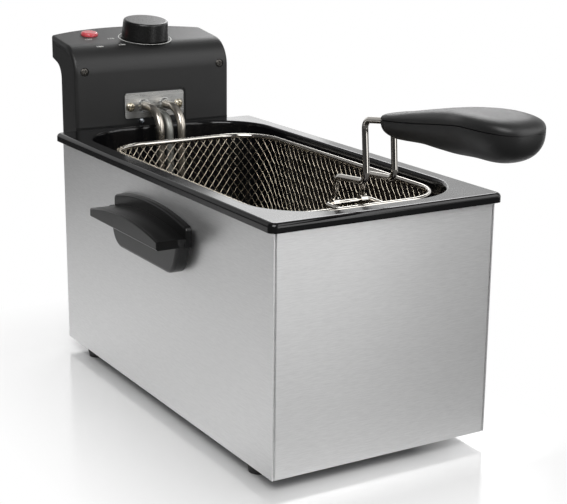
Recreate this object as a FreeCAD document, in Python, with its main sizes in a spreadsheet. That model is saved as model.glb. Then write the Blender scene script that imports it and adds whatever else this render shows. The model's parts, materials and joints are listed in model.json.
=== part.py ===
import FreeCAD, Part
import Sketcher
import math
import os

Vector = FreeCAD.Vector
Rotation = FreeCAD.Rotation

# Driving dimensions in millimetres and degrees; a text is a sheet formula on them.
# Places along the fryer are measured from the housing's centre, heights from the table.
sizes = {
    # Housing of bent steel sheet
    "housing_width": 202.0,
    "housing_length": 396.0,
    "sheet_gauge": 1.0,
    "bend_radius": 3.0,
    "seam_gap": 0.4,
    "front_return": 12.0,
    "panel_bend": 1.4,
    "base_lip": 9.0,
    "base_gauge": 1.5,
    "base_corner": 4.0,
    "vent_width": 4.0,
    "vent_length": 46.0,
    "vent_pitch": 14.0,
    "vent_row": 78.0,
    "fit_gap": 0.2,
    "clearance": 0.3,
    # Feet
    "foot_height": 10.0,
    "foot_dia": 20.0,
    "foot_taper": 1.5,
    "foot_inset_side": 13.0,
    "foot_inset_end": 42.0,
    "foot_bore": 9.0,
    "foot_bore_depth": 5.0,
    "screw_dia": 3.6,
    "screw_hole": 4.0,
    "screw_head_dia": 7.6,
    "screw_head": 2.4,
    # Side handles
    "grab_drop": 24.6,
    "grab_peak": "=rim_top - grab_drop",
    "grab_flange": 5.5,
    "grab_half": 69.5,
    "grab_crown": 8.5,
    "grab_spring": "=grab_peak - grab_crown",
    "grab_height": 50.5,
    "grab_bottom": "=grab_peak - grab_height",
    "grab_block": 11.5,
    "grab_block_inset": 0.8,
    "grab_block_half": "=grab_half - grab_block_inset",
    "grab_lean": 13.0,
    "grab_bottom_half": "=grab_block_half - grab_lean",
    "grab_corner": 18.0,
    "shelf_reach": 30.0,
    "shelf_inset": 3.5,
    "shelf_half": "=grab_half - shelf_inset",
    "shelf_drop": 10.0,
    "shelf_peak": "=grab_peak - shelf_drop",
    "shelf_crown": 7.5,
    "shelf_spring": "=shelf_peak - shelf_crown",
    "shelf_edge": 7.2,
    "shelf_bottom": "=shelf_spring - shelf_edge",
    "grab_edge": 1.0,
    "grab_shoulder": 5.0,
    "grab_round": 2.0,
    "grab_block_round": 3.0,
    "grab_screw_y": 40.0,
    "grab_screw_drop": 35.0,
    "grab_screw_z": "=grab_peak - grab_screw_drop",
    "grab_screw_length": 8.0,
    # Oil tank
    "rim_top": 211.6,
    "rim_band": 7.6,
    "rim_overhang": 5.0,
    "rim_corner": 6.0,
    "rim_skin": 1.6,
    "rim_edge": 3.5,
    "tank_inset": 11.0,
    "tank_half": "=housing_width / 2 - tank_inset",
    "tank_front_inset": 12.0,
    "tank_front": "=housing_length / 2 - tank_front_inset",
    "tank_back_inset": 4.0,
    "tank_back": "=housing_length / 2 - tank_back_inset",
    "tank_corner": 56.0,
    "tank_bottom": 66.0,
    "tank_draft": 8.0,
    "tank_wall": 1.2,
    "tank_bend": 16.0,
    "tank_mouth": 3.0,
    # Control head
    "head_inset": 18.3,
    "head_half": "=housing_width / 2 - head_inset",
    "head_stand": 8.0,
    "head_front": "=housing_length / 2 + head_stand",
    "head_depth": 58.0,
    "head_back": "=head_front + head_depth",
    "head_bow": 20.0,
    "head_corner": 6.0,
    "waist_depth": 38.0,
    "head_waist": "=head_front + waist_depth",
    "head_rise": 79.9,
    "head_top": "=rim_top + head_rise",
    "head_slope": 8.0,
    "head_shoulder": 27.0,
    "head_band": 6.0,
    "head_wall": 2.5,
    "head_edge": 3.5,
    "head_back_edge": 5.0,
    "cover_gap": 1.0,
    "head_cover_bottom": "=rim_top + cover_gap",
    "head_cheek": 12.5,
    "head_overhang": "=head_top - head_cheek",
    "head_overhang_drop": 13.0,
    "skirt_step": 2.5,
    "skirt_front": "=head_front + skirt_step",
    "skirt_bottom": 107.0,
    "head_screw_inset": 10.0,
    "head_screw_x": "=head_half - head_screw_inset",
    "head_screw_drop": 25.5,
    "head_screw_z": "=head_top - head_screw_drop",
    "boss_width": 10.0,
    # Rails and interlock
    "rail_place": 50.0,
    "rail_width": 12.0,
    "rail_lip": 7.0,
    "rail_gauge": 1.5,
    "rail_depth": 8.6,
    "rail_bottom": 120.0,
    "rail_length": 74.0,
    "hook_gauge": "=rail_depth - rail_gauge - rim_overhang - 2 * clearance",
    "hook_web": 1.7,
    "hook_gap": 1.3,
    "hook_bottom": 126.0,
    "hook_length": 30.0,
    "pin_dia": 5.0,
    "pin_height": 140.0,
    "pin_length": 22.0,
    "pin_flange_dia": 12.0,
    # Element plate and heater
    "tube_rise": 18.0,
    "tube_height": "=rim_top + tube_rise",
    "plate_half": 31.8,
    "plate_below": 11.8,
    "plate_bottom": "=tube_height - plate_below",
    "plate_above": 13.0,
    "plate_top": "=tube_height + plate_above",
    "plate_gauge": 1.5,
    "plate_corner": 3.0,
    "recess_margin": 2.5,
    "recess_depth": 1.0,
    "plate_screw_inset": 5.8,
    "plate_screw_x": "=plate_half - plate_screw_inset",
    "plate_screw_drop": 0.6,
    "plate_screw_head": 9.2,
    "plate_screw_z": "=tube_height - plate_screw_drop",
    "tube_dia": 8.0,
    "tube_place": 11.4,
    "tube_reach": 36.0,
    "tube_drop_y": "=head_front - tube_reach",
    "tube_inside": 18.0,
    "tube_bend": 20.0,
    "tube_foot_bend": 12.0,
    "run_height": 97.0,
    "run_inner": 29.0,
    "run_outer": 58.0,
    "run_front_gap": 41.0,
    "run_front": "=tank_front - run_front_gap",
    "run_back_gap": 66.0,
    "run_back": "=tank_back - run_back_gap",
    "run_start_gap": 56.0,
    "run_start": "=tank_back - run_start_gap",
    "collar_dia": 13.0,
    "collar_length": 3.0,
    "sensor_dia": 8.0,
    "sensor_drop": 6.6,
    "sensor_height": "=tube_height - sensor_drop",
    "sensor_reach": 33.0,
    "sensor_drop_y": "=head_front - sensor_reach",
    "sensor_bend": 16.0,
    "sensor_end": 112.0,
    "clamp_width": 9.0,
    "clamp_gauge": 1.0,
    "clamp_place": 70.0,
    "earth_x": 14.4,
    "earth_drop": 3.0,
    "earth_z": "=plate_bottom - earth_drop",
    "earth_dia": 5.4,
    "earth_head": 4.0,
    "earth_stem": 2.6,
    "earth_hole": 3.0,
    # Knob, lamp and inner pieces of the head
    "knob_x": 5.5,
    "knob_back": 31.0,
    "knob_y": "=head_front + knob_back",
    "knob_dia": 46.2,
    "knob_top_dia": 43.7,
    "knob_height": 18.3,
    "knob_edge": 2.0,
    "knob_wall": 2.2,
    "knob_gap": 0.8,
    "hub_dia": 11.0,
    "shaft_dia": 6.0,
    "shaft_rise": 13.0,
    "shaft_gap": 0.06,
    "bush_dia": 9.6,
    "bush_rise": 3.0,
    "thermostat_width": 36.0,
    "thermostat_depth": 24.0,
    "thermostat_front": 6.0,
    "thermostat_height": 16.0,
    "lamp_inset": 38.2,
    "lamp_x": "=head_half - lamp_inset",
    "lamp_back": 21.5,
    "lamp_y": "=knob_y + lamp_back",
    "lens_dia": 17.0,
    "lens_stem": 14.0,
    "lens_rise": 3.2,
    "lens_edge": 2.4,
    "lens_depth": 5.0,
    "bulb_dia": 9.0,
    "bulb_length": 9.0,
    "reset_inset": 37.7,
    "reset_x": "=head_half - reset_inset",
    "reset_z": 172.0,
    "reset_dia": 8.0,
    "reset_proud": 2.6,
    "reset_length": 10.5,
    "cutout_dia": 17.0,
    "cutout_length": 9.0,
    "switch_width": 20.0,
    "switch_depth": 8.0,
    "switch_height": 12.0,
    "plunger_dia": 3.0,
    "plunger_length": 2.4,
    "terminal_width": 34.0,
    "terminal_depth": 14.0,
    "terminal_height": 16.0,
    "terminal_z": 178.0,
    "terminal_pitch": 10.0,
    "gland_inset": 30.7,
    "gland_x": "=head_half - gland_inset",
    "gland_z": 128.0,
    "gland_dia": 14.0,
    "gland_flange": 18.0,
    "gland_bore": 7.4,
    "gland_proud": 4.0,
    "lead_dia": 2.4,
    "heater_pin_length": 9.0,
    # Basket
    "basket_sink": 7.0,
    "basket_rim_z": "=rim_top - basket_sink",
    "basket_gap": 8.5,
    "basket_half": "=tank_half - basket_gap",
    "basket_front_gap": 20.5,
    "basket_front": "=tank_front - basket_front_gap",
    "basket_back_gap": 51.0,
    "basket_back": "=tank_back - basket_back_gap",
    "basket_corner": 40.0,
    "basket_draft": 8.0,
    "basket_wire": 4.5,
    "mesh_gauge": 1.2,
    "mesh_pitch": 21.0,
    "mesh_strand": 3.0,
    "base_wire": 3.0,
    "base_wire_y": 70.0,
    # Basket handle
    "leg_place": 13.0,
    "leg_wire": 5.0,
    "leg_bend": 7.0,
    "pivot_back": 23.5,
    "pivot_y": "=basket_front - pivot_back",
    "pivot_drop": 1.0,
    "pivot_z": "=basket_rim_z - pivot_drop",
    "pivot_wire": 4.0,
    "pivot_gap": 0.08,
    "eye_dia": 9.0,
    "eye_width": 6.0,
    "bracket_half": 20.0,
    # Bends of the handle wire, ahead of the pivot and above it
    "step_ahead": 2.0,
    "step_rise": 22.2,
    "riser_ahead": 43.0,
    "riser_rise": 25.7,
    "top_ahead": 39.0,
    "top_rise": 72.4,
    "wire_end_ahead": 116.0,
    "wire_end_rise": 82.4,
    # Grip, ahead of the pivot and above it
    "grip_ahead": 60.0,
    "grip_start": "=pivot_y + grip_ahead",
    "grip_length": 153.0,
    "grip_tip": "=grip_start + grip_length",
    "grip_cut": 0.1,
    "grip_seam": 0.3,
    "grip_screw": 9.0,
    "grip_screw_near": 26.0,
    "grip_screw_near_rise": 71.9,
    "grip_screw_far": 98.0,
    "grip_screw_far_rise": 80.4,
}

# Grip sections from the wires to the tip: share of the length in percent,
# half width, rise above the seam, depth below it, and the seam's height above the pivot
grip_sections = (
    ("rear", 0.0, 16.0, 3.0, 9.8, 76.3),
    ("neck", 7.0, 18.0, 4.6, 14.2, 77.2),
    ("waist", 26.0, 18.8, 8.0, 15.0, 80.1),
    ("middle", 51.0, 21.4, 9.7, 20.2, 85.4),
    ("palm", 74.0, 25.5, 8.8, 23.4, 89.1),
    ("nose", 90.0, 23.0, 7.4, 18.6, 88.6),
    ("tip", 99.0, 11.6, 4.4, 9.4, 87.4),
)
for label, share, half, rise, depth, height in grip_sections:
    sizes["grip_" + label + "_share"] = share
    sizes["grip_" + label + "_half"] = half
    sizes["grip_" + label + "_rise"] = rise
    sizes["grip_" + label + "_depth"] = depth
    sizes["grip_" + label + "_height"] = height

doc = FreeCAD.newDocument("DeepFryer")
sheet = doc.addObject("Spreadsheet::Sheet", "Sizes")
for row, (alias, value) in enumerate(sizes.items(), 1):
    sheet.set("A%d" % row, alias)
    sheet.set("B%d" % row, str(value))
    sheet.setAlias("B%d" % row, alias)
doc.recompute()


class Dim:
    # A length that knows both its number and the sheet expression behind it
    def __init__(self, text, value):
        self.text = text
        self.value = value

    def __add__(self, other):
        other = as_dim(other)
        return Dim("(%s + %s)" % (self.text, other.text), self.value + other.value)

    def __sub__(self, other):
        other = as_dim(other)
        return Dim("(%s - %s)" % (self.text, other.text), self.value - other.value)

    def __mul__(self, other):
        other = as_dim(other)
        return Dim("(%s * %s)" % (self.text, other.text), self.value * other.value)

    def __truediv__(self, other):
        other = as_dim(other)
        return Dim("(%s / %s)" % (self.text, other.text), self.value / other.value)

    def __neg__(self):
        return Dim("(0 - %s)" % self.text, -self.value)

    def __radd__(self, other):
        return as_dim(other) + self

    def __rsub__(self, other):
        return as_dim(other) - self

    def __rmul__(self, other):
        return as_dim(other) * self


def as_dim(value):
    if isinstance(value, Dim):
        return value
    return Dim("(%r)" % float(value), float(value))


class SizeNames:
    # Gives each sheet cell as an attribute
    def __getattr__(self, alias):
        return Dim("Sizes." + alias, float(sheet.get(alias)))


S = SizeNames()


def tangent_of(angle):
    return Dim("tan(%s)" % angle.text, math.tan(math.radians(angle.value)))


def secant_of(angle):
    return Dim("(1 / cos(%s))" % angle.text, 1 / math.cos(math.radians(angle.value)))


def bind(thing, prop, value):
    thing.setExpression(prop, as_dim(value).text)


def numbers(*values):
    return Vector(*[as_dim(value).value for value in values])


# Places that several pieces share
half_width = S.housing_width / 2
half_length = S.housing_length / 2
inner_half = half_width - S.sheet_gauge
panel_half = inner_half - S.seam_gap
sheet_top = S.rim_top - S.rim_skin - S.clearance
sheet_height = sheet_top - S.foot_height
foot_x = half_width - S.foot_inset_side
foot_y = half_length - S.foot_inset_end
rim_half = half_width + S.rim_overhang
rim_length = half_length + S.rim_overhang
slope_rise = tangent_of(S.head_slope)
slope_length = secant_of(S.head_slope)
rail_back = half_length + S.rail_depth
hook_front = rail_back - S.rail_gauge - S.clearance - S.hook_gauge
run_top = S.run_height + S.tube_dia / 2
base_wire_z = run_top + S.clearance + S.base_wire / 2
mesh_floor = base_wire_z + S.base_wire / 2
mesh_top = S.basket_rim_z - S.basket_wire / 2
housing_y = (S.grip_tip - S.head_back - S.head_bow) / 2


def top_at(y):
    # Height of the head's sloping top at a place along the fryer
    return S.head_top + slope_rise * (y - S.knob_y)


nodes = []


def add_node(thing, label, y=0.0, shift=True):
    # Names a finished piece and sets it in the part's frame, whose origin is mid box on the table
    thing.Label = label
    if shift:
        bind(thing, "Placement.Base.y", housing_y + y)
    nodes.append(thing)
    return thing


# Sketching helpers

def new_body(name):
    return doc.addObject("PartDesign::Body", name)


def new_sketch(body, name, role, offset=0.0):
    sketch = body.newObject("Sketcher::SketchObject", name)
    plane = [item for item in body.Origin.OriginFeatures if item.Role == role][0]
    sketch.AttachmentSupport = [(plane, "")]
    sketch.MapMode = "FlatFace"
    bind(sketch, "AttachmentOffset.Base.z", offset)
    return sketch


def fix_point(sketch, geometry, position, x, y):
    # Ties a sketch point to the sheet by its distances from the sketch's origin
    for kind, axis, value in (("DistanceX", -2, as_dim(x)), ("DistanceY", -1, as_dim(y))):
        if abs(value.value) < 1e-9:
            sketch.addConstraint(Sketcher.Constraint("PointOnObject", geometry, position, axis))
            continue
        rule = Sketcher.Constraint(kind, -1, 1, geometry, position, value.value)
        index = sketch.addConstraint(rule)
        bind(sketch, "Constraints[%d]" % index, value)


def fix_radius(sketch, geometry, radius):
    index = sketch.addConstraint(Sketcher.Constraint("Radius", geometry, as_dim(radius).value))
    bind(sketch, "Constraints[%d]" % index, radius)


def draw_circle(sketch, x, y, radius):
    circle = Part.Circle(numbers(x, y, 0), Vector(0, 0, 1), as_dim(radius).value)
    index = sketch.addGeometry(circle, False)
    fix_radius(sketch, index, radius)
    fix_point(sketch, index, 3, x, y)


def rounded_corner(before, corner, after, radius):
    # Where a rounded corner is entered and left, its arc, and whether it turns left
    to_before = (before - corner).normalize()
    to_after = (after - corner).normalize()
    half_angle = to_before.getAngle(to_after) / 2
    reach = radius / math.tan(half_angle)
    entry = corner + to_before * reach
    leave = corner + to_after * reach
    centre = corner + (to_before + to_after).normalize() * (radius / math.sin(half_angle))
    left_turn = to_after.cross(to_before).z > 0
    first, last = (entry, leave) if left_turn else (leave, entry)
    start = math.atan2(first.y - centre.y, first.x - centre.x)
    end = math.atan2(last.y - centre.y, last.x - centre.x)
    if end < start:
        end += 2 * math.pi
    arc = Part.ArcOfCircle(Part.Circle(centre, Vector(0, 0, 1), radius), start, end)
    return entry, leave, arc, left_turn


def draw_outline(sketch, corners):
    # A closed outline through corners (x, y) or, where the corner is round, (x, y, radius)
    count = len(corners)
    points = [numbers(corner[0], corner[1], 0) for corner in corners]
    bends = []
    for i, corner in enumerate(corners):
        if len(corner) == 2:
            bends.append((points[i], points[i], None, True))
            continue
        before, after = points[i - 1], points[(i + 1) % count]
        bends.append(rounded_corner(before, points[i], after, as_dim(corner[2]).value))
    lines = []
    for i in range(count):
        segment = Part.LineSegment(bends[i][1], bends[(i + 1) % count][0])
        lines.append(sketch.addGeometry(segment, False))
    for i, corner in enumerate(corners):
        mark = sketch.addGeometry(Part.Point(points[i]), True)
        fix_point(sketch, mark, 1, corner[0], corner[1])
        arriving, leaving = lines[i - 1], lines[i]
        arc, left_turn = bends[i][2], bends[i][3]
        if arc is None:
            sketch.addConstraint(Sketcher.Constraint("Coincident", arriving, 2, mark, 1))
            sketch.addConstraint(Sketcher.Constraint("Coincident", leaving, 1, mark, 1))
            continue
        bend = sketch.addGeometry(arc, False)
        entry_end, leave_end = (1, 2) if left_turn else (2, 1)
        sketch.addConstraint(Sketcher.Constraint("Tangent", arriving, 2, bend, entry_end))
        sketch.addConstraint(Sketcher.Constraint("Tangent", bend, leave_end, leaving, 1))
        sketch.addConstraint(Sketcher.Constraint("PointOnObject", mark, 1, arriving))
        sketch.addConstraint(Sketcher.Constraint("PointOnObject", mark, 1, leaving))
        fix_radius(sketch, bend, corner[2])


def draw_box(sketch, x0, y0, x1, y1, radius=None):
    corners = [(x0, y0), (x1, y0), (x1, y1), (x0, y1)]
    if radius is not None:
        corners = [(x, y, radius) for x, y in corners]
    draw_outline(sketch, corners)


def draw_arch(sketch, half, bottom_half, bottom, spring, peak):
    # A plate with a flat bottom and an arched top
    rise = peak - spring
    radius = (half * half + rise * rise) / (2 * rise)
    left, right = numbers(-half, spring, 0), numbers(half, spring, 0)
    foot_left, foot_right = numbers(-bottom_half, bottom, 0), numbers(bottom_half, bottom, 0)
    arch = Part.Arc(right, numbers(0, peak, 0), left)
    curve = sketch.addGeometry(arch, False)
    sides = [(left, foot_left), (foot_left, foot_right), (foot_right, right)]
    lines = [sketch.addGeometry(Part.LineSegment(a, b), False) for a, b in sides]
    chain = [(curve, 2, lines[0], 1), (lines[0], 2, lines[1], 1)]
    chain += [(lines[1], 2, lines[2], 1), (lines[2], 2, curve, 1)]
    for link in chain:
        sketch.addConstraint(Sketcher.Constraint("Coincident", *link))
    fix_point(sketch, lines[0], 1, -half, spring)
    fix_point(sketch, lines[1], 1, -bottom_half, bottom)
    fix_point(sketch, lines[1], 2, bottom_half, bottom)
    fix_point(sketch, lines[2], 2, half, spring)
    fix_radius(sketch, curve, radius)


# Feature helpers

def pad(body, name, sketch, length, reverse=False):
    feature = body.newObject("PartDesign::Pad", name)
    feature.Profile = sketch
    bind(feature, "Length", length)
    feature.Reversed = reverse
    doc.recompute()
    return feature


def pocket(body, name, sketch, length, reverse=False):
    # A pocket that points away from the solid cuts nothing, so the volume is compared
    before = body.Shape.Volume
    feature = body.newObject("PartDesign::Pocket", name)
    feature.Profile = sketch
    bind(feature, "Length", length)
    feature.Reversed = reverse
    doc.recompute()
    if body.Shape.Volume > before - 0.01:
        raise ValueError(name + " cuts nothing")
    return feature


def fillet(body, name, radius, wanted):
    base = body.Tip
    chosen = ["Edge%d" % i for i, edge in enumerate(base.Shape.Edges, 1) if wanted(edge)]
    if not chosen:
        raise ValueError(name + " finds no edge")
    feature = body.newObject("PartDesign::Fillet", name)
    feature.Base = (base, chosen)
    bind(feature, "Radius", radius)
    doc.recompute()
    return feature


def chamfer(body, name, width, wanted):
    base = body.Tip
    chosen = ["Edge%d" % i for i, edge in enumerate(base.Shape.Edges, 1) if wanted(edge)]
    feature = body.newObject("PartDesign::Chamfer", name)
    feature.Base = (base, chosen)
    bind(feature, "Size", width)
    doc.recompute()
    return feature


def lies_at(edge, axis, value):
    # True where the whole edge lies in one plane across an axis
    box = edge.BoundBox
    low, high = (box.XMin, box.YMin, box.ZMin)[axis], (box.XMax, box.YMax, box.ZMax)[axis]
    return abs(low - value) < 1e-3 and abs(high - value) < 1e-3


def place(thing, x, y, z, rotation=None):
    if rotation is not None:
        thing.Placement.Rotation = rotation
    bind(thing, "Placement.Base.x", x)
    bind(thing, "Placement.Base.y", y)
    bind(thing, "Placement.Base.z", z)
    return thing


def turned(name, corners):
    # A piece turned about its own Z axis from a half profile
    body = new_body(name)
    sketch = new_sketch(body, name + "_profile", "XZ_Plane")
    draw_outline(sketch, corners)
    feature = body.newObject("PartDesign::Revolution", name + "_turn")
    feature.Profile = sketch
    feature.ReferenceAxis = (sketch, ["V_Axis"])
    feature.Angle = 360.0
    doc.recompute()
    return body


def screw(name, head_dia, head, dia, length):
    # Head above its own XY plane, shank below
    head_r, shank_r = head_dia / 2, dia / 2
    return turned(name, [
        (0, -length), (shank_r, -length), (shank_r, 0), (head_r, 0),
        (head_r, head, head * 0.6), (0, head),
    ])


def cylinder(name, radius, height, x, y, z, rotation=None):
    thing = doc.addObject("Part::Cylinder", name)
    bind(thing, "Radius", radius)
    bind(thing, "Height", height)
    return place(thing, x, y, z, rotation)


def box(name, x0, y0, z0, x1, y1, z1):
    thing = doc.addObject("Part::Box", name)
    bind(thing, "Length", x1 - x0)
    bind(thing, "Width", y1 - y0)
    bind(thing, "Height", z1 - z0)
    return place(thing, x0, y0, z0)


def cut(name, base, tools):
    for i, tool in enumerate(tools):
        result = doc.addObject("Part::Cut", "%s_%d" % (name, i))
        result.Base = base
        result.Tool = tool
        base = result
    return base


def fuse(name, base, tool):
    result = doc.addObject("Part::Fuse", name)
    result.Base = base
    result.Tool = tool
    return result


def group(name, members):
    result = doc.addObject("Part::Compound", name)
    result.Links = members
    return result


def mirrored(name, source, normal):
    result = doc.addObject("Part::Mirroring", name)
    result.Source = source
    result.Normal = normal
    return result


def both_sides(name, source):
    return group(name, [source, mirrored(name + "_other", source, Vector(1, 0, 0))])


def four_corners(name, source):
    pair = both_sides(name + "_pair", source)
    return group(name, [pair, mirrored(name + "_far", pair, Vector(0, 1, 0))])


def bent_path(points, radii):
    # Straight runs joined by tangent arcs, through points with a bend at each inner one
    edges = []
    here = points[0]
    for i in range(1, len(points) - 1):
        to_before = (points[i - 1] - points[i]).normalize()
        to_after = (points[i + 1] - points[i]).normalize()
        half_angle = to_before.getAngle(to_after) / 2
        reach = radii[i - 1] / math.tan(half_angle)
        middle = (to_before + to_after).normalize()
        entry = points[i] + to_before * reach
        leave = points[i] + to_after * reach
        depth = radii[i - 1] / math.sin(half_angle) - radii[i - 1]
        if (entry - here).Length > 1e-6:
            edges.append(Part.LineSegment(here, entry).toShape())
        edges.append(Part.Arc(entry, points[i] + middle * depth, leave).toShape())
        here = leave
    if (points[-1] - here).Length > 1e-6:
        edges.append(Part.LineSegment(here, points[-1]).toShape())
    return edges


def bent_tube(name, points, radii, dia):
    # A round section swept along a bent path
    edges = bent_path(points, radii)
    spine = doc.addObject("Part::Feature", name + "_line")
    spine.Shape = Part.Wire(edges)
    section = doc.addObject("Part::Circle", name + "_section")
    bind(section, "Radius", dia / 2)
    first = edges[0]
    heading = first.tangentAt(first.FirstParameter)
    section.Placement = FreeCAD.Placement(points[0], Rotation(Vector(0, 0, 1), heading))
    tube = doc.addObject("Part::Sweep", name + "_tube")
    tube.Sections = [section]
    tube.Spine = (spine, ["Edge%d" % (i + 1) for i in range(len(edges))])
    tube.Solid = True
    tube.Frenet = False
    return tube


to_front = Rotation(Vector(1, 0, 0), 90)
to_back = Rotation(Vector(1, 0, 0), -90)
to_right = Rotation(Vector(0, 1, 0), 90)
upside_down = Rotation(Vector(1, 0, 0), 180)


# Housing

def make_side_wrapper():
    body = new_body("side_wrapper_body")
    inner_bend = S.bend_radius - S.sheet_gauge
    back_inner = half_length - S.sheet_gauge
    plan = new_sketch(body, "side_wrapper_plan", "XY_Plane", S.foot_height)
    draw_outline(plan, [
        (-half_width, -half_length), (-inner_half, -half_length),
        (-inner_half, back_inner, inner_bend), (inner_half, back_inner, inner_bend),
        (inner_half, -half_length), (half_width, -half_length),
        (half_width, half_length, S.bend_radius), (-half_width, half_length, S.bend_radius),
    ])
    pad(body, "side_wrapper_sheet", plan, sheet_height)
    holes = new_sketch(body, "grab_holes", "YZ_Plane", -half_width - 1)
    for side in (-1, 1):
        draw_circle(holes, side * S.grab_screw_y, S.grab_screw_z, S.screw_hole / 2)
    pocket(body, "grab_hole_cut", holes, S.housing_width + 2, True)
    add_node(body, "side_wrapper")


def make_front_panel():
    body = new_body("front_panel_body")
    inner_bend = S.panel_bend - S.sheet_gauge
    back = S.front_return - half_length
    inside = panel_half - S.sheet_gauge
    face = S.sheet_gauge - half_length
    plan = new_sketch(body, "front_panel_plan", "XY_Plane", S.foot_height)
    draw_outline(plan, [
        (-panel_half, -half_length, S.panel_bend), (panel_half, -half_length, S.panel_bend),
        (panel_half, back), (inside, back), (inside, face, inner_bend),
        (-inside, face, inner_bend), (-inside, back), (-panel_half, back),
    ])
    pad(body, "front_panel_sheet", plan, sheet_height)
    add_node(body, "front_panel")


def make_base_plate():
    body = new_body("base_plate_body")
    half = panel_half - S.sheet_gauge - S.fit_gap
    end = half_length - S.sheet_gauge - S.fit_gap
    plan = new_sketch(body, "base_plan", "XY_Plane", S.foot_height)
    draw_box(plan, -half, -end, half, end, S.base_corner)
    pad(body, "base_block", plan, S.base_lip)
    inside = new_sketch(body, "base_inside", "XY_Plane", S.foot_height + S.base_lip)
    inner, inner_end = half - S.base_gauge, end - S.base_gauge
    draw_box(inside, -inner, -inner_end, inner, inner_end, S.base_corner - S.base_gauge)
    pocket(body, "base_tray", inside, S.base_lip - S.base_gauge)
    holes = new_sketch(body, "base_holes", "XY_Plane", S.foot_height + S.base_gauge)
    for x in (-foot_x, foot_x):
        for y in (-foot_y, foot_y):
            draw_circle(holes, x, y, S.screw_hole / 2)
    pocket(body, "base_hole_cut", holes, S.base_gauge)
    vents = new_sketch(body, "base_vents", "XY_Plane", S.foot_height + S.base_gauge)
    first = -2.5 * S.vent_pitch
    for y in (-S.vent_row, S.vent_row):
        near, far = y - S.vent_length / 2, y + S.vent_length / 2
        draw_box(vents, first - S.vent_width / 2, near, first + S.vent_width / 2, far)
    slot = pocket(body, "base_vent_cut", vents, S.base_gauge)
    rows = body.newObject("PartDesign::LinearPattern", "base_vent_rows")
    rows.Originals = [slot]
    rows.Direction = (vents, ["H_Axis"])
    rows.Occurrences = 6
    bind(rows, "Length", 5 * S.vent_pitch)
    body.Tip = rows
    doc.recompute()
    add_node(body, "base_plate")


def make_feet():
    bore, hole = S.foot_bore / 2, S.screw_hole / 2
    wide, narrow = S.foot_dia / 2, S.foot_dia / 2 - S.foot_taper
    foot = turned("foot", [
        (bore, 0), (narrow, 0), (wide, S.foot_height), (hole, S.foot_height),
        (hole, S.foot_bore_depth), (bore, S.foot_bore_depth),
    ])
    place(foot, -foot_x, -foot_y, 0)
    add_node(four_corners("feet_group", foot), "feet")
    length = S.foot_height - S.foot_bore_depth + S.base_gauge + 2
    fixing = screw("foot_screw", S.screw_head_dia, S.screw_head, S.screw_dia, length)
    place(fixing, -foot_x, -foot_y, S.foot_bore_depth, upside_down)
    add_node(four_corners("foot_screw_group", fixing), "foot_screws")


def make_side_handles():
    body = new_body("side_handle_body")
    wall = -half_width
    flange = new_sketch(body, "grab_flange_outline", "YZ_Plane", wall)
    draw_arch(flange, S.grab_half, S.grab_block_half, S.shelf_bottom, S.grab_spring, S.grab_peak)
    pad(body, "grab_flange_plate", flange, S.grab_flange, True)
    plate_face, spring, foot = (wall - S.grab_flange).value, S.grab_spring.value, S.shelf_bottom.value
    fillet(body, "grab_shoulders", S.grab_shoulder,
           lambda edge: edge.BoundBox.XLength > 1 and lies_at(edge, 2, spring))
    fillet(body, "grab_flange_round", S.grab_round,
           lambda edge: lies_at(edge, 0, plate_face) and not lies_at(edge, 2, foot))
    block = new_sketch(body, "grab_block_outline", "YZ_Plane", wall)
    draw_outline(block, [
        (-S.grab_block_half, S.shelf_spring), (-S.grab_bottom_half, S.grab_bottom, S.grab_corner),
        (S.grab_bottom_half, S.grab_bottom, S.grab_corner), (S.grab_block_half, S.shelf_spring),
    ])
    pad(body, "grab_block_pad", block, S.grab_block, True)
    block_face, block_top = (wall - S.grab_block).value, S.shelf_spring.value
    fillet(body, "grab_block_edge", S.grab_block_round,
           lambda edge: lies_at(edge, 0, block_face) and not lies_at(edge, 2, block_top))
    shelf = new_sketch(body, "grab_shelf_outline", "YZ_Plane", wall)
    draw_arch(shelf, S.shelf_half, S.shelf_half, S.shelf_bottom, S.shelf_spring, S.shelf_peak)
    pad(body, "grab_shelf_pad", shelf, S.shelf_reach, True)
    outer_face = (wall - S.shelf_reach).value
    chamfer(body, "grab_shelf_edge", S.grab_edge, lambda edge: lies_at(edge, 0, outer_face))
    holes = new_sketch(body, "grab_screw_holes", "YZ_Plane", wall + 1)
    for side in (-1, 1):
        draw_circle(holes, side * S.grab_screw_y, S.grab_screw_z, S.screw_hole / 2)
    pocket(body, "grab_screw_cut", holes, S.grab_screw_length + 1)
    other = mirrored("side_handle_other", body, Vector(1, 0, 0))
    add_node(body, "side_handle_left")
    add_node(other, "side_handle_right", shift=False)
    length = S.grab_screw_length - 1
    fixing = screw("grab_screw", S.screw_head_dia, S.screw_head, S.screw_dia, length)
    place(fixing, -inner_half, -S.grab_screw_y, S.grab_screw_z, to_right)
    add_node(four_corners("grab_screw_group", fixing), "side_handle_screws")


def make_rails():
    body = new_body("guide_rail_body")
    plan = new_sketch(body, "guide_rail_plan", "XY_Plane", S.rail_bottom)
    near, gauge = S.rail_place, S.rail_gauge
    draw_outline(plan, [
        (near, half_length), (near + S.rail_width, half_length),
        (near + S.rail_width, half_length + gauge), (near + gauge, half_length + gauge),
        (near + gauge, rail_back - gauge), (near + S.rail_lip, rail_back - gauge),
        (near + S.rail_lip, rail_back), (near, rail_back),
    ])
    pad(body, "guide_rail_pad", plan, S.rail_length)
    add_node(both_sides("guide_rail_pair", body), "guide_rails")
    pin = turned("interlock_pin_body", [
        (0, 0), (S.pin_flange_dia / 2, 0), (S.pin_flange_dia / 2, S.rail_gauge),
        (S.pin_dia / 2, S.rail_gauge), (S.pin_dia / 2, S.pin_length, 1.0), (0, S.pin_length),
    ])
    place(pin, 0, half_length, S.pin_height, to_back)
    add_node(pin, "interlock_pin", half_length)


# Oil tank

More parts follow.
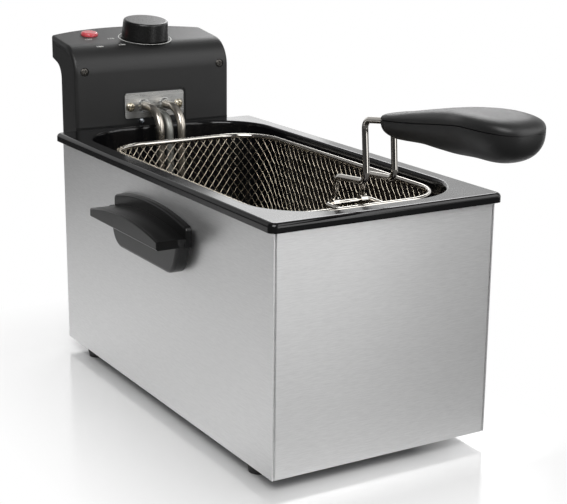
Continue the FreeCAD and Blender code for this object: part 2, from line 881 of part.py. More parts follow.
def tank_outline(body, name, height, inset):
    sketch = new_sketch(body, name, "XY_Plane", height)
    half = S.tank_half - inset
    corner = S.tank_corner - inset
    draw_box(sketch, -half, inset - S.tank_front, half, S.tank_back - inset, corner)
    return sketch


def make_oil_tank():
    body = new_body("oil_tank_body")
    skirt = S.rim_top - S.rim_band
    rim = new_sketch(body, "rim_plan", "XY_Plane", skirt)
    draw_box(rim, -rim_half, -rim_length, rim_half, rim_length, S.rim_corner)
    pad(body, "rim_block", rim, S.rim_band)
    top = S.rim_top.value
    fillet(body, "rim_round", S.rim_edge, lambda edge: lies_at(edge, 2, top))
    hollow = new_sketch(body, "rim_hollow", "XY_Plane", skirt)
    inside, inside_end = rim_half - S.rim_skin, rim_length - S.rim_skin
    draw_box(hollow, -inside, -inside_end, inside, inside_end, S.rim_corner - S.rim_skin)
    pocket(body, "rim_underside", hollow, S.rim_band - S.rim_skin, True)
    outer_top = tank_outline(body, "basin_top", S.rim_top - S.rim_skin, -S.tank_wall)
    outer_foot = tank_outline(body, "basin_foot", S.tank_bottom, S.tank_draft - S.tank_wall)
    basin = body.newObject("PartDesign::AdditiveLoft", "basin")
    basin.Profile = outer_top
    basin.Sections = [outer_foot]
    basin.Ruled = True
    doc.recompute()
    floor = S.tank_bottom + S.tank_wall
    inner_top = tank_outline(body, "space_top", S.rim_top, 0)
    inner_foot = tank_outline(body, "space_foot", floor, S.tank_draft)
    before = body.Shape.Volume
    space = body.newObject("PartDesign::SubtractiveLoft", "space")
    space.Profile = inner_top
    space.Sections = [inner_foot]
    space.Ruled = True
    doc.recompute()
    if body.Shape.Volume > before - 1:
        raise ValueError("the tank isn't hollow")
    level = floor.value
    inner_bend = S.tank_bend - S.tank_wall
    fillet(body, "space_round", inner_bend, lambda edge: lies_at(edge, 2, level))
    foot = S.tank_bottom.value
    fillet(body, "basin_round", S.tank_bend, lambda edge: lies_at(edge, 2, foot))
    reach = S.rim_edge.value + 1.0

    def at_mouth(edge):
        return lies_at(edge, 2, top) and edge.BoundBox.XMax < rim_half.value - reach \
            and edge.BoundBox.XMin > reach - rim_half.value \
            and edge.BoundBox.YMin > reach - rim_length.value \
            and edge.BoundBox.YMax < rim_length.value - reach

    fillet(body, "mouth_round", S.tank_mouth, at_mouth)
    add_node(body, "oil_tank")


# Control head

def head_plan(name, inset):
    # Upright prism over the head's plan, whose back edge bows outward between rounded corners
    body = new_body(name)
    sketch = new_sketch(body, name + "_outline", "XY_Plane", 0)
    half, spring = S.head_half - inset, S.head_back - inset
    draw_arch(sketch, half, half, S.head_front - S.head_band, spring, spring + S.head_bow)
    pad(body, name + "_prism", sketch, 2 * S.rim_top)
    level = spring.value

    def at_corner(edge):
        box = edge.BoundBox
        return abs(box.YMin - level) < 1e-3 and abs(box.YMax - level) < 1e-3 and box.ZLength > 1

    fillet(body, name + "_corners", S.head_corner - inset, at_corner)
    return body


def common(name, base, tool):
    result = doc.addObject("Part::Common", name)
    result.Base = base
    result.Tool = tool
    return result


def make_front_cover(plan, plan_inside):
    body = new_body("head_cover_body")
    front, low = S.head_front, S.head_cover_bottom
    back = S.head_back + S.head_bow + 1
    band, wall = S.head_band, S.head_wall
    side = new_sketch(body, "cover_side", "YZ_Plane", -S.head_half)
    draw_outline(side, [
        (front, low), (front, top_at(front), S.head_shoulder), (back, top_at(back)),
        (back, top_at(back) - band * slope_length),
        (front + band, top_at(front + band) - band * slope_length, S.head_shoulder - band),
        (front + band, low),
    ])
    pad(body, "cover_band", side, 2 * S.head_half)

    def at_side(edge):
        x = S.head_half.value
        middle = edge.valueAt((edge.FirstParameter + edge.LastParameter) / 2)
        roof = top_at(as_dim(middle.y)).value - band.value
        outer = middle.y < (front + band).value - 0.5 or middle.z > roof
        inner = middle.z > low.value + 0.5 and middle.y < back.value - 0.5
        return (lies_at(edge, 0, x) or lies_at(edge, 0, -x)) and outer and inner

    fillet(body, "cover_round", S.head_edge, at_side)
    recess = new_sketch(body, "plate_recess", "XZ_Plane", 1 - front)
    edge_x = S.plate_half + S.recess_margin
    corner = S.plate_corner + S.recess_margin
    edge_z = S.plate_top + S.recess_margin
    draw_outline(recess, [
        (-edge_x, low - 1), (edge_x, low - 1),
        (edge_x, edge_z, corner), (-edge_x, edge_z, corner),
    ])
    pocket(body, "plate_recess_cut", recess, 1 + S.recess_depth)
    holes = new_sketch(body, "cover_holes", "XZ_Plane", 1 - front)
    for way in (-1, 1):
        draw_circle(holes, way * S.tube_place, S.tube_height, S.tube_dia / 2 + 1)
        draw_circle(holes, way * S.plate_screw_x, S.plate_screw_z, S.screw_hole / 2)
        draw_circle(holes, way * S.head_screw_x, S.head_screw_z, S.screw_hole / 2)
    draw_circle(holes, 0, S.sensor_height, S.sensor_dia / 2 + 1)
    draw_circle(holes, -S.earth_x, S.earth_z, S.earth_hole / 2)
    pocket(body, "cover_hole_cut", holes, 1 + band)
    seats = new_sketch(body, "screw_seats", "XZ_Plane", 1 - front)
    for way in (-1, 1):
        draw_circle(seats, way * S.head_screw_x, S.head_screw_z, S.screw_head_dia / 2 + 0.5)
    pocket(body, "screw_seat_cut", seats, 1 + S.head_wall / 2)
    hollow = new_body("head_cover_hollow")
    inside = new_sketch(hollow, "cover_inside", "YZ_Plane", wall - S.head_half)
    draw_outline(inside, [
        (front + wall, low - 1), (front + wall, top_at(front + wall) - wall * slope_length,
                                  S.head_shoulder - wall),
        (back, top_at(back) - wall * slope_length), (back, low - 1),
    ])
    pad(hollow, "cover_hollow", inside, 2 * (S.head_half - wall))
    tilt = Rotation(Vector(1, 0, 0), S.head_slope.value)
    deep = 4 * wall
    shaft_way = cylinder("shaft_way", S.bush_dia / 2 + S.clearance, deep, S.knob_x,
                         S.knob_y + deep / 2 * slope_rise, S.head_top - deep / 2, tilt)
    lens_way = cylinder("lens_way", S.lens_stem / 2 + S.fit_gap, deep, -S.lamp_x,
                        S.lamp_y + deep / 2 * slope_rise, top_at(S.lamp_y) - deep / 2, tilt)
    cover = common("head_cover_shape", body, plan)
    space = common("head_cover_space", hollow, plan_inside)
    add_node(cut("head_cover_cut", cover, [space, shaft_way, lens_way]), "head_front_cover")


def make_rear_shell(plan, plan_inside):
    body = new_body("head_shell_body")
    wall, low = S.head_wall, S.skirt_bottom
    back = S.head_back + S.head_bow + 1
    seam = S.head_front + S.head_band + S.fit_gap
    drop = (S.head_band + S.fit_gap) * slope_length
    step = S.head_cover_bottom - S.fit_gap
    shoulder = S.head_shoulder - S.head_band - S.fit_gap
    waist, under = S.head_waist, S.head_overhang - S.head_overhang_drop
    side = new_sketch(body, "shell_side", "YZ_Plane", -S.head_half)
    draw_outline(side, [
        (S.skirt_front, low), (S.skirt_front, step), (seam, step),
        (seam, top_at(seam) - drop, shoulder), (back, top_at(back) - drop),
        (back, S.head_overhang), (waist, under, S.head_shoulder / 2), (waist, low),
    ])
    pad(body, "shell_block", side, 2 * S.head_half)

    def at_back(edge):
        x, y = S.head_half.value, waist.value
        outer = lies_at(edge, 0, x) or lies_at(edge, 0, -x)
        return outer and lies_at(edge, 1, y)

    fillet(body, "shell_round", S.head_back_edge, at_back)
    hollow = new_body("head_shell_hollow")
    inside = new_sketch(hollow, "shell_inside", "YZ_Plane", wall - S.head_half)
    roof = top_at(back) + S.head_band
    draw_outline(inside, [
        (S.skirt_front + wall, low + wall), (S.skirt_front + wall, step - wall),
        (seam + wall, step - wall), (seam + wall, step + wall), (seam - 1, step + wall),
        (seam - 1, roof), (back, roof), (back, S.head_overhang + wall),
        (waist - wall, under + wall), (waist - wall, low + wall),
    ])
    pad(hollow, "shell_hollow", inside, 2 * (S.head_half - wall))
    shape = common("head_shell_shape", body, plan)
    space = common("head_shell_space", hollow, plan_inside)
    shell = cut("head_shell_cut", shape, [space])
    inner = S.head_screw_x - S.boss_width / 2
    outer = S.head_half - wall / 2
    base = S.head_screw_z - S.boss_width / 2
    boss = box("shell_boss", inner, seam + wall, base, outer, waist, base + S.boss_width)
    pilot = cylinder("boss_pilot", S.screw_hole / 2, 2 * S.boss_width, S.head_screw_x,
                     seam, S.head_screw_z, to_back)
    hooks = new_body("shell_hook_body")
    plan_sketch = new_sketch(hooks, "shell_hooks", "XY_Plane", S.hook_bottom)
    tip = S.rail_place + S.rail_gauge + S.hook_gap
    web = S.rail_place + S.rail_lip + S.hook_gap
    draw_outline(plan_sketch, [
        (tip, hook_front), (web + S.hook_web, hook_front),
        (web + S.hook_web, S.skirt_front + 1), (web, S.skirt_front + 1),
        (web, hook_front + S.hook_gauge), (tip, hook_front + S.hook_gauge),
    ])
    pad(hooks, "shell_hook_pad", plan_sketch, S.hook_length)
    shell = fuse("shell_with_bosses", shell, both_sides("boss_pair", boss))
    shell = fuse("shell_with_hooks", shell, both_sides("hook_pair", hooks))
    slot_half = S.pin_dia / 2 + S.clearance
    slot = box("pin_slot", -slot_half, S.skirt_front - 1, low - 1,
               slot_half, S.skirt_front + wall + 0.5, S.pin_height + slot_half)
    floor_slot = box("pin_floor_slot", -slot_half, S.skirt_front - 1, low - 1,
                     slot_half, half_length + S.pin_length + S.clearance, low + wall + 1)
    reset_way = cylinder("reset_way", S.reset_dia / 2 + S.clearance, 2 * wall, -S.reset_x,
                         waist - 1.5 * wall, S.reset_z, to_back)
    gland_way = cylinder("gland_way", S.gland_dia / 2 + S.fit_gap, 2 * wall, S.gland_x,
                         waist - 1.5 * wall, S.gland_z, to_back)
    pilots = both_sides("boss_pilot_pair", pilot)
    shell = cut("head_shell_ways", shell, [pilots, slot, floor_slot, reset_way, gland_way])
    add_node(shell, "head_rear_shell")


def make_head_screws():
    fixing = screw("head_screw", S.screw_head_dia, S.screw_head, S.screw_dia, 14.0)
    place(fixing, -S.head_screw_x, S.head_front + S.head_wall / 2, S.head_screw_z, to_front)
    add_node(both_sides("head_screw_pair", fixing), "head_screws")


def make_element_plate():
    body = new_body("element_plate_body")
    back = S.head_front + S.recess_depth
    outline = new_sketch(body, "plate_outline", "XZ_Plane", -back)
    draw_box(outline, -S.plate_half, S.plate_bottom, S.plate_half, S.plate_top, S.plate_corner)
    for way in (-1, 1):
        draw_circle(outline, way * S.tube_place, S.tube_height, S.tube_dia / 2 + S.fit_gap)
        draw_circle(outline, way * S.plate_screw_x, S.plate_screw_z, S.screw_hole / 2)
    draw_circle(outline, 0, S.sensor_height, S.sensor_dia / 2 + S.fit_gap)
    pad(body, "plate_sheet", outline, S.plate_gauge)
    add_node(body, "element_plate")
    face = back - S.plate_gauge
    fixing = screw("plate_screw", S.plate_screw_head, S.screw_head, S.screw_dia, 9.0)
    place(fixing, -S.plate_screw_x, face, S.plate_screw_z, to_front)
    add_node(both_sides("plate_screw_pair", fixing), "plate_screws")
    inner = S.tube_dia / 2 + S.fit_gap / 2
    collar = turned("collar", [
        (inner, 0), (S.collar_dia / 2, 0), (S.collar_dia / 2, 1.0),
        (inner + 1.2, S.collar_length), (inner, S.collar_length),
    ])
    place(collar, -S.tube_place, face, S.tube_height, to_front)
    add_node(both_sides("collar_pair", collar), "element_collars")
    bolt = screw("earth_bolt", S.earth_dia, S.earth_head, S.earth_stem, S.head_wall)
    place(bolt, -S.earth_x, back, S.earth_z, to_front)
    add_node(bolt, "earth_screw", back)


def make_heater():
    z, x = S.run_height, S.tube_place
    inside_y = S.head_front + S.tube_inside
    half_path = [
        (x, inside_y, S.tube_height), (x, S.tube_drop_y, S.tube_height),
        (x, S.tube_drop_y, z), (S.run_outer, S.run_start, z),
        (S.run_outer, -S.run_front, z), (S.run_inner, -S.run_front, z),
        (S.run_inner, S.run_back, z),
    ]
    turn = (S.run_outer - S.run_inner) / 2 * 0.98
    half_radii = [S.tube_bend, S.tube_foot_bend, S.tube_foot_bend, turn, turn, S.tube_bend]
    right = [numbers(*point) for point in half_path]
    left = [Vector(-point.x, point.y, point.z) for point in right]
    bends = [as_dim(radius).value for radius in half_radii]
    tube = bent_tube("heating", right + left[::-1], bends + bends[::-1], S.tube_dia)
    add_node(tube, "heating_element")
    bulb_path = [
        numbers(0, inside_y - 4, S.sensor_height),
        numbers(0, S.sensor_drop_y, S.sensor_height),
        numbers(0, S.sensor_drop_y, S.sensor_end),
    ]
    bulb = bent_tube("sensor", bulb_path, [S.sensor_bend.value], S.sensor_dia)
    add_node(bulb, "sensor_tube")
    strap_top = S.run_height - S.tube_dia / 2
    half = S.run_outer + S.tube_dia / 2 + 2
    straps = []
    for name, y in (("front_strap", -S.clamp_place), ("back_strap", S.clamp_place)):
        strap = box(name, -half, y - S.clamp_width / 2, strap_top - S.clamp_gauge,
                    half, y + S.clamp_width / 2, strap_top)
        straps.append(strap)
    add_node(group("clamp_group", straps), "element_clamps")
    pin_r = S.lead_dia / 2
    cap, end = S.heater_pin_length / 3, S.heater_pin_length
    pin = turned("heater_pin", [
        (0, 0), (S.tube_dia / 2, 0), (S.tube_dia / 2, cap), (pin_r, cap), (pin_r, end), (0, end),
    ])
    place(pin, -S.tube_place, inside_y, S.tube_height, to_back)
    add_node(both_sides("heater_pin_pair", pin), "heater_terminals")


def make_knob():
    tilt = Rotation(Vector(1, 0, 0), S.head_slope.value)
    hub, bore = S.hub_dia / 2, S.shaft_dia / 2 + S.fit_gap / 4
    wide, narrow = S.knob_dia / 2, S.knob_top_dia / 2
    roof = S.knob_height - S.knob_wall
    bottom = S.bush_rise + S.clearance
    knob = turned("knob_body", [
        (bore, bottom), (hub, bottom), (hub, roof), (narrow - S.knob_wall, roof),
        (wide - S.knob_wall, S.knob_gap), (wide, S.knob_gap),
        (narrow, S.knob_height, S.knob_edge), (0, S.knob_height),
        (0, S.shaft_rise + S.fit_gap), (bore, S.shaft_rise + S.fit_gap),
    ])
    place(knob, S.knob_x, S.knob_y, S.head_top, tilt)
    add_node(knob, "knob", S.knob_y)
    depth = S.head_wall + S.thermostat_height / 2
    shaft_r = S.shaft_dia / 2
    shaft = turned("shaft_body", [
        (0, -depth), (shaft_r, -depth), (shaft_r, S.shaft_rise), (0, S.shaft_rise),
    ])
    place(shaft, S.knob_x, S.knob_y, S.head_top, tilt)
    add_node(shaft, "thermostat_shaft", S.knob_y)
    block = box("thermostat_block", -S.thermostat_width / 2, -S.thermostat_front,
                -S.head_wall - S.thermostat_height, S.thermostat_width / 2,
                S.thermostat_depth - S.thermostat_front, -S.head_wall)
    bush = cylinder("thermostat_bush", S.bush_dia / 2, S.head_wall + S.bush_rise,
                    0, 0, -S.head_wall)
    hole = cylinder("thermostat_bore", S.shaft_dia / 2 + S.shaft_gap,
                    depth + S.clearance + S.bush_rise + 1, 0, 0, -depth - S.clearance)
    whole = cut("thermostat_cut", fuse("thermostat_fuse", block, bush), [hole])
    place(whole, S.knob_x, S.knob_y, S.head_top, tilt)
    add_node(whole, "thermostat", S.knob_y)


def make_lamp():
    tilt = Rotation(Vector(1, 0, 0), S.head_slope.value)
    lens_r, stem_r = S.lens_dia / 2, S.lens_stem / 2
    lens = turned("lens_body", [
        (0, -S.lens_depth), (stem_r, -S.lens_depth), (stem_r, 0), (lens_r, 0),
        (lens_r, S.lens_rise, S.lens_edge), (0, S.lens_rise),
    ])
    place(lens, -S.lamp_x, S.lamp_y, top_at(S.lamp_y), tilt)
    add_node(lens, "indicator_lens", S.lamp_y)
    start = -S.lens_depth
    bulb = turned("bulb_body", [
        (0, start - S.bulb_length), (S.bulb_dia / 2, start - S.bulb_length),
        (S.bulb_dia / 2, start, 2.0), (0, start),
    ])
    place(bulb, -S.lamp_x, S.lamp_y, top_at(S.lamp_y), tilt)
    add_node(bulb, "indicator_lamp", S.lamp_y)


def make_head_inside():
    waist_inside = S.head_waist - S.head_wall
    button_back = S.head_waist + S.reset_proud
    button = turned("reset_body", [
        (0, 0), (S.reset_dia / 2, 0), (S.reset_dia / 2, S.reset_length, 1.0), (0, S.reset_length),
    ])
    button_front = button_back - S.reset_length
    place(button, -S.reset_x, button_front, S.reset_z, to_back)
    add_node(button, "reset_button", button_front)
    travel = S.reset_proud
    cutout_back = button_front - travel
    cutout_front = cutout_back - S.cutout_length
    sleeve, guide = waist_inside - cutout_front, S.reset_dia / 2 + S.clearance
    cutout = turned("cutout_body", [
        (0, 0), (S.cutout_dia / 2, 0), (S.cutout_dia / 2, sleeve), (guide, sleeve),
        (guide, S.cutout_length), (0, S.cutout_length),
    ])
    place(cutout, -S.reset_x, cutout_front, S.reset_z, to_back)
    add_node(cutout, "thermal_cutout", cutout_front)
    tip = S.pin_height + S.pin_dia / 2 + S.clearance
    switch_y = S.skirt_front + S.head_wall + S.switch_depth / 2
    plunger = cylinder("plunger", S.plunger_dia / 2, S.plunger_length + 1, 0, switch_y, tip)
    bottom = tip + S.plunger_length
    case = box("switch_case", -S.switch_width / 2, switch_y - S.switch_depth / 2, bottom,
               S.switch_width / 2, switch_y + S.switch_depth / 2, bottom + S.switch_height)
    add_node(fuse("switch_fuse", case, plunger), "micro_switch")
    terminal = box("terminal_case", -S.terminal_width / 2, waist_inside - S.terminal_depth,
                   S.terminal_z, S.terminal_width / 2, waist_inside,
                   S.terminal_z + S.terminal_height)
    ways = []
    for name, x in (("way_left", -S.terminal_pitch), ("way_mid", as_dim(0)),
                    ("way_right", S.terminal_pitch)):
        way = cylinder(name, S.lead_dia / 2 + S.fit_gap, S.terminal_height + 2, x,
                       waist_inside - S.terminal_depth / 2, S.terminal_z - 1)
        ways.append(way)
    add_node(cut("terminal_cut", terminal, ways), "terminal_block")
    bore, body_r = S.gland_bore / 2, S.gland_dia / 2
    length = S.head_wall + 6
    gland = turned("gland_body", [
        (bore, -length), (body_r, -length), (body_r, 0), (S.gland_flange / 2, 0),
        (S.gland_flange / 2, S.gland_proud / 2), (body_r - 1, S.gland_proud),
        (bore, S.gland_proud),
    ])
    place(gland, S.gland_x, S.head_waist, S.gland_z, to_back)
    add_node(gland, "cable_gland", S.head_waist)
    lead_y, bow = waist_inside - S.terminal_depth / 2, 2 * S.lead_dia
    pin_end = S.head_front + S.tube_inside + S.heater_pin_length
    way_top = S.terminal_z + S.terminal_height
    turn_y = pin_end + bow + 1
    lead = bent_tube("lead", [
        numbers(-S.terminal_pitch, lead_y, S.terminal_z + S.terminal_height / 2),
        numbers(-S.terminal_pitch, lead_y, way_top + bow),
        numbers(-S.tube_place, turn_y, way_top + 4 * bow),
        numbers(-S.tube_place, turn_y, S.tube_height),
        numbers(-S.tube_place, pin_end, S.tube_height),
    ], [bow.value] * 3, S.lead_dia)
    add_node(both_sides("lead_pair", lead), "lead_wires")


# Basket

def basket_outline(inset, height):
    # Plan of the basket as a wire, drawn in from the rim's centre line
    half, corner = S.basket_half - inset, S.basket_corner - inset
    points = [
        numbers(half, inset - S.basket_front, height),
        numbers(half, S.basket_back - inset, height),
        numbers(-half, S.basket_back - inset, height),
        numbers(-half, inset - S.basket_front, height),
    ]
    start = (points[0] + points[-1]) / 2
    edges = bent_path([start] + points + [start], [as_dim(corner).value] * 4)
    return Part.Wire(edges)


def diamond_holes(across, up, origin, through, columns, rows, pitch_x, pitch_y, strand):
    # Prisms that leave a woven lattice of strands when cut from a sheet
    holes = []
    half_x, half_y = (pitch_x - strand) / 2, (pitch_y - strand) / 2
    for row in range(rows):
        for column in range(columns - row % 2):
            x = (column + 0.5 + (row % 2) / 2) * pitch_x
            y = (row + 1) * pitch_y / 2
            centre = origin + across * x + up * y
            corners = [centre + across * half_x, centre + up * half_y,
                       centre - across * half_x, centre - up * half_y]
            face = Part.Face(Part.makePolygon(corners + corners[:1]))
            holes.append(face.extrude(through))
    return holes


def make_basket():
    rim = doc.addObject("Part::Feature", "basket_rim_wire")
    line = basket_outline(as_dim(0), S.basket_rim_z)
    first = line.Edges[0]
    heading = first.tangentAt(first.FirstParameter)
    start = first.valueAt(first.FirstParameter)
    section = Part.Wire(Part.makeCircle(S.basket_wire.value / 2, start, heading))
    rim.Shape = line.makePipeShell([section], True, False)
    add_node(rim, "basket_rim")

    gauge, draft = S.mesh_gauge.value, S.basket_draft
    floor, top = mesh_floor.value, mesh_top.value
    wall_foot = floor + gauge
    outer = Part.makeLoft([basket_outline(draft, mesh_floor), basket_outline(as_dim(0), mesh_top)],
                          True, True)
    inner = Part.makeLoft([basket_outline(draft + S.mesh_gauge, mesh_floor),
                           basket_outline(S.mesh_gauge, mesh_top)], True, True)
    far = 2 * (S.basket_half + S.basket_front).value
    corner_x = (S.basket_half - S.basket_corner).value
    corner_front = (S.basket_front - S.basket_corner).value
    corner_back = (S.basket_back - S.basket_corner).value
    shell = outer.cut(inner)
    height = top - wall_foot
    shell = shell.common(Part.makeBox(far, far, height, Vector(-far / 2, -far / 2, wall_foot)))
    strand = S.mesh_strand.value

    def lattice(across, origin, length, through):
        columns = max(1, int(round(length / S.mesh_pitch.value)))
        rows = 2 * max(1, int(round(height / S.mesh_pitch.value))) - 1
        pitch_x, pitch_y = length / columns, 2 * height / (rows + 1)
        return diamond_holes(across, Vector(0, 0, 1), origin, through, columns, rows,
                             pitch_x, pitch_y, strand)

    def panel(name, low, size, holes):
        piece = shell.common(Part.makeBox(size.x, size.y, size.z, low))
        thing = doc.addObject("Part::Feature", name + "_sheet")
        thing.Shape = piece.cut(Part.makeCompound(holes)).Solids[0]
        add_node(thing, name)

    tall = far
    side_length = corner_front + corner_back
    margin = 2 * draft.value + gauge
    for name, sign, y in (("basket_mesh_front", -1, -S.basket_front.value),
                          ("basket_mesh_back", 1, S.basket_back.value)):
        low_y = y - margin if sign > 0 else y - 1
        holes = lattice(Vector(1, 0, 0), Vector(-corner_x, low_y, wall_foot), 2 * corner_x,
                        Vector(0, margin + 1, 0))
        panel(name, Vector(-corner_x, low_y, 0), Vector(2 * corner_x, margin + 1, tall), holes)
    for name, sign in (("basket_mesh_left", -1), ("basket_mesh_right", 1)):
        x = sign * S.basket_half.value
        low_x = x - margin if sign > 0 else x - 1
        holes = lattice(Vector(0, 1, 0), Vector(low_x, -corner_front, wall_foot), side_length,
                        Vector(margin + 1, 0, 0))
        panel(name, Vector(low_x, -corner_front, 0), Vector(margin + 1, side_length, tall), holes)
    corners = []
    reach = S.basket_corner.value + 2
    for sign_x in (-1, 1):
        for y, sign_y in ((-corner_front, -1), (corner_back, 1)):
            low_x = corner_x if sign_x > 0 else -corner_x - reach
            low_y = y if sign_y > 0 else y - reach
            piece = shell.common(Part.makeBox(reach, reach, tall, Vector(low_x, low_y, 0)))
            outward = Vector(sign_x, sign_y, 0).normalize()
            across = Vector(-sign_y, sign_x, 0).normalize()
            middle = Vector(sign_x * corner_x, y, wall_foot)
            width = S.basket_corner.value * 1.2
            holes = lattice(across, middle - across * (width / 2), width, outward * reach * 1.5)
            corners.append(piece.cut(Part.makeCompound(holes)).Solids[0])
    thing = doc.addObject("Part::Feature", "basket_corner_sheets")
    thing.Shape = Part.makeCompound(corners)
    add_node(thing, "basket_mesh_corners")

    half = (S.basket_half - draft).value
    front, back = (S.basket_front - draft).value, (S.basket_back - draft).value
    plate = Part.Face(basket_outline(draft, mesh_floor)).extrude(Vector(0, 0, gauge))
    edge = S.basket_corner.value / 2
    width, length = 2 * (half - edge / 2), front + back - edge
    columns = int(round(width / S.mesh_pitch.value))
    rows = 2 * int(round(length / S.mesh_pitch.value)) - 1
    holes = diamond_holes(Vector(1, 0, 0), Vector(0, 1, 0),
                          Vector(-width / 2, -front + edge / 2, floor - 1), Vector(0, 0, gauge + 2),
                          columns, rows, width / columns, 2 * length / (rows + 1), strand)
    thing = doc.addObject("Part::Feature", "basket_bottom_sheet")
    thing.Shape = plate.cut(Part.makeCompound(holes)).Solids[0]
    add_node(thing, "basket_mesh_bottom")

    wires = []
    for name, y in (("front_base_wire", -S.base_wire_y), ("back_base_wire", S.base_wire_y)):
        length = 2 * (S.basket_half - S.basket_draft)
        wire = cylinder(name, S.base_wire / 2, length, -length / 2, y, base_wire_z, to_right)
        wires.append(wire)
    add_node(group("base_wire_group", wires), "basket_base_wires")


def make_bracket():
    front = S.basket_wire / 2 - S.basket_front
    points = [
        numbers(-S.bracket_half, front, S.pivot_z), numbers(-S.bracket_half, -S.pivot_y, S.pivot_z),
        numbers(S.bracket_half, -S.pivot_y, S.pivot_z), numbers(S.bracket_half, front, S.pivot_z),
    ]
    bend = S.pivot_wire.value / 2 + 0.5
    add_node(bent_tube("bracket", points, [bend, bend], S.pivot_wire), "handle_bracket")


# Basket handle

def handle_points():
    x = S.leg_place
    half = [
        (0, S.eye_dia / 2 - 1), (S.step_ahead, S.step_rise), (S.riser_ahead, S.riser_rise),
        (S.top_ahead, S.top_rise), (S.wire_end_ahead, S.wire_end_rise),
    ]
    right = [numbers(x, -S.pivot_y - ahead, S.pivot_z + rise) for ahead, rise in half]
    left = [Vector(-point.x, point.y, point.z) for point in right]
    return right + left[::-1]


def make_handle():
    bend = S.leg_bend.value
    tube = bent_tube("handle", handle_points(), [bend] * 8, S.leg_wire)
    bore = S.pivot_wire / 2 + S.pivot_gap
    eye = turned("eye", [
        (bore, -S.eye_width / 2), (S.eye_dia / 2, -S.eye_width / 2),
        (S.eye_dia / 2, S.eye_width / 2), (bore, S.eye_width / 2),
    ])
    place(eye, S.leg_place, -S.pivot_y, S.pivot_z, to_right)
    eyes = both_sides("eye_pair", eye)
    add_node(fuse("handle_with_eyes", tube, eyes), "handle_wire")


def half_section(y, half, rise, seam, sign):
    # One shell's section: a flat seam with a crowned side, above it or below
    crown = [(0.93, 0.42), (0.66, 0.82), (0.0, 1.0), (-0.66, 0.82), (-0.93, 0.42)]
    points = [Vector(half, y, seam)]
    points += [Vector(half * u, y, seam + sign * rise * w) for u, w in crown]
    points.append(Vector(-half, y, seam))
    curve = Part.BSplineCurve()
    curve.interpolate(points)
    return Part.Wire([curve.toShape(), Part.LineSegment(points[-1], points[0]).toShape()])


def grip_part(label, field):
    return getattr(S, "grip_" + label + "_" + field)


def make_grip():
    length = S.grip_tip - S.grip_start
    wide_wire = Part.Wire(bent_path(handle_points(), [S.leg_bend.value] * 8))
    start = handle_points()[0]
    heading = handle_points()[1] - start
    radius = S.leg_wire.value / 2 + S.grip_cut.value
    section = Part.Wire(Part.makeCircle(radius, start, heading))
    channel = wide_wire.makePipeShell([section], True, False)
    seats = [(S.grip_screw_near, S.grip_screw_near_rise), (S.grip_screw_far, S.grip_screw_far_rise)]
    ways = []
    for ahead, rise in seats:
        low = numbers(0, -S.grip_start - ahead, S.pivot_z + rise)
        ways.append(Part.makeCylinder(S.screw_hole.value / 2, S.grip_screw.value + 1, low))
        well = S.screw_head_dia.value / 2 + S.clearance.value
        ways.append(Part.makeCylinder(well, 2 * S.grip_screw.value, low, Vector(0, 0, -1)))
    for name, sign in (("grip_top", 1), ("grip_bottom", -1)):
        sections = []
        for label in [row[0] for row in grip_sections]:
            share, half = grip_part(label, "share"), grip_part(label, "half")
            rise = grip_part(label, "rise" if sign > 0 else "depth")
            y = -(S.grip_start + length * share / 100)
            seam = S.pivot_z + grip_part(label, "height") + sign * S.grip_seam / 2
            sections.append(half_section(y.value, half.value, rise.value, seam.value, sign))
        shell = Part.makeLoft(sections, True, False)
        thing = doc.addObject("Part::Feature", name + "_shell")
        thing.Shape = shell.cut([channel] + ways)
        add_node(thing, name)
    screws = []
    for name, (ahead, rise) in zip(("near_grip_screw", "far_grip_screw"), seats):
        fixing = screw(name, S.screw_head_dia, S.screw_head, S.screw_dia, S.grip_screw)
        screws.append(place(fixing, 0, -S.grip_start - ahead, S.pivot_z + rise, upside_down))
    add_node(group("grip_screw_group", screws), "grip_screws")


def finish_part():
    doc.recompute()
    for item in doc.Objects:
        if "Invalid" in item.State or "Error" in item.State:
            raise ValueError("%s failed: %s" % (item.Label, item.State))
    for item in nodes:
        if item.Shape.isNull() or not item.Shape.isValid() or not item.Shape.Solids:
            raise ValueError(item.Label + " has no valid solid")
    os.makedirs("parts", exist_ok=True)
    for item in nodes:
        item.Shape.exportStep("parts/" + item.Label + ".step")
        box = item.Shape.BoundBox
        print("%-22s solids %d volume %9.0f  x %.1f..%.1f  y %.1f..%.1f  z %.1f..%.1f" % (
            item.Label, len(item.Shape.Solids), item.Shape.Volume, box.XMin, box.XMax,
            box.YMin, box.YMax, box.ZMin, box.ZMax))


make_side_wrapper()
make_front_panel()
make_base_plate()
make_feet()
make_side_handles()
make_rails()
make_oil_tank()
head_outside = head_plan("head_plan", as_dim(0))
head_inside = head_plan("head_plan_inside", S.head_wall)
make_front_cover(head_outside, head_inside)
make_rear_shell(head_outside, head_inside)
make_head_screws()
make_element_plate()
make_heater()
make_knob()
make_lamp()
make_head_inside()
make_basket()
make_bracket()
make_handle()
make_grip()
finish_part()
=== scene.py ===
# Deep fryer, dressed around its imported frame
import json
import math

import bmesh
import bpy
from mathutils import Matrix, Vector


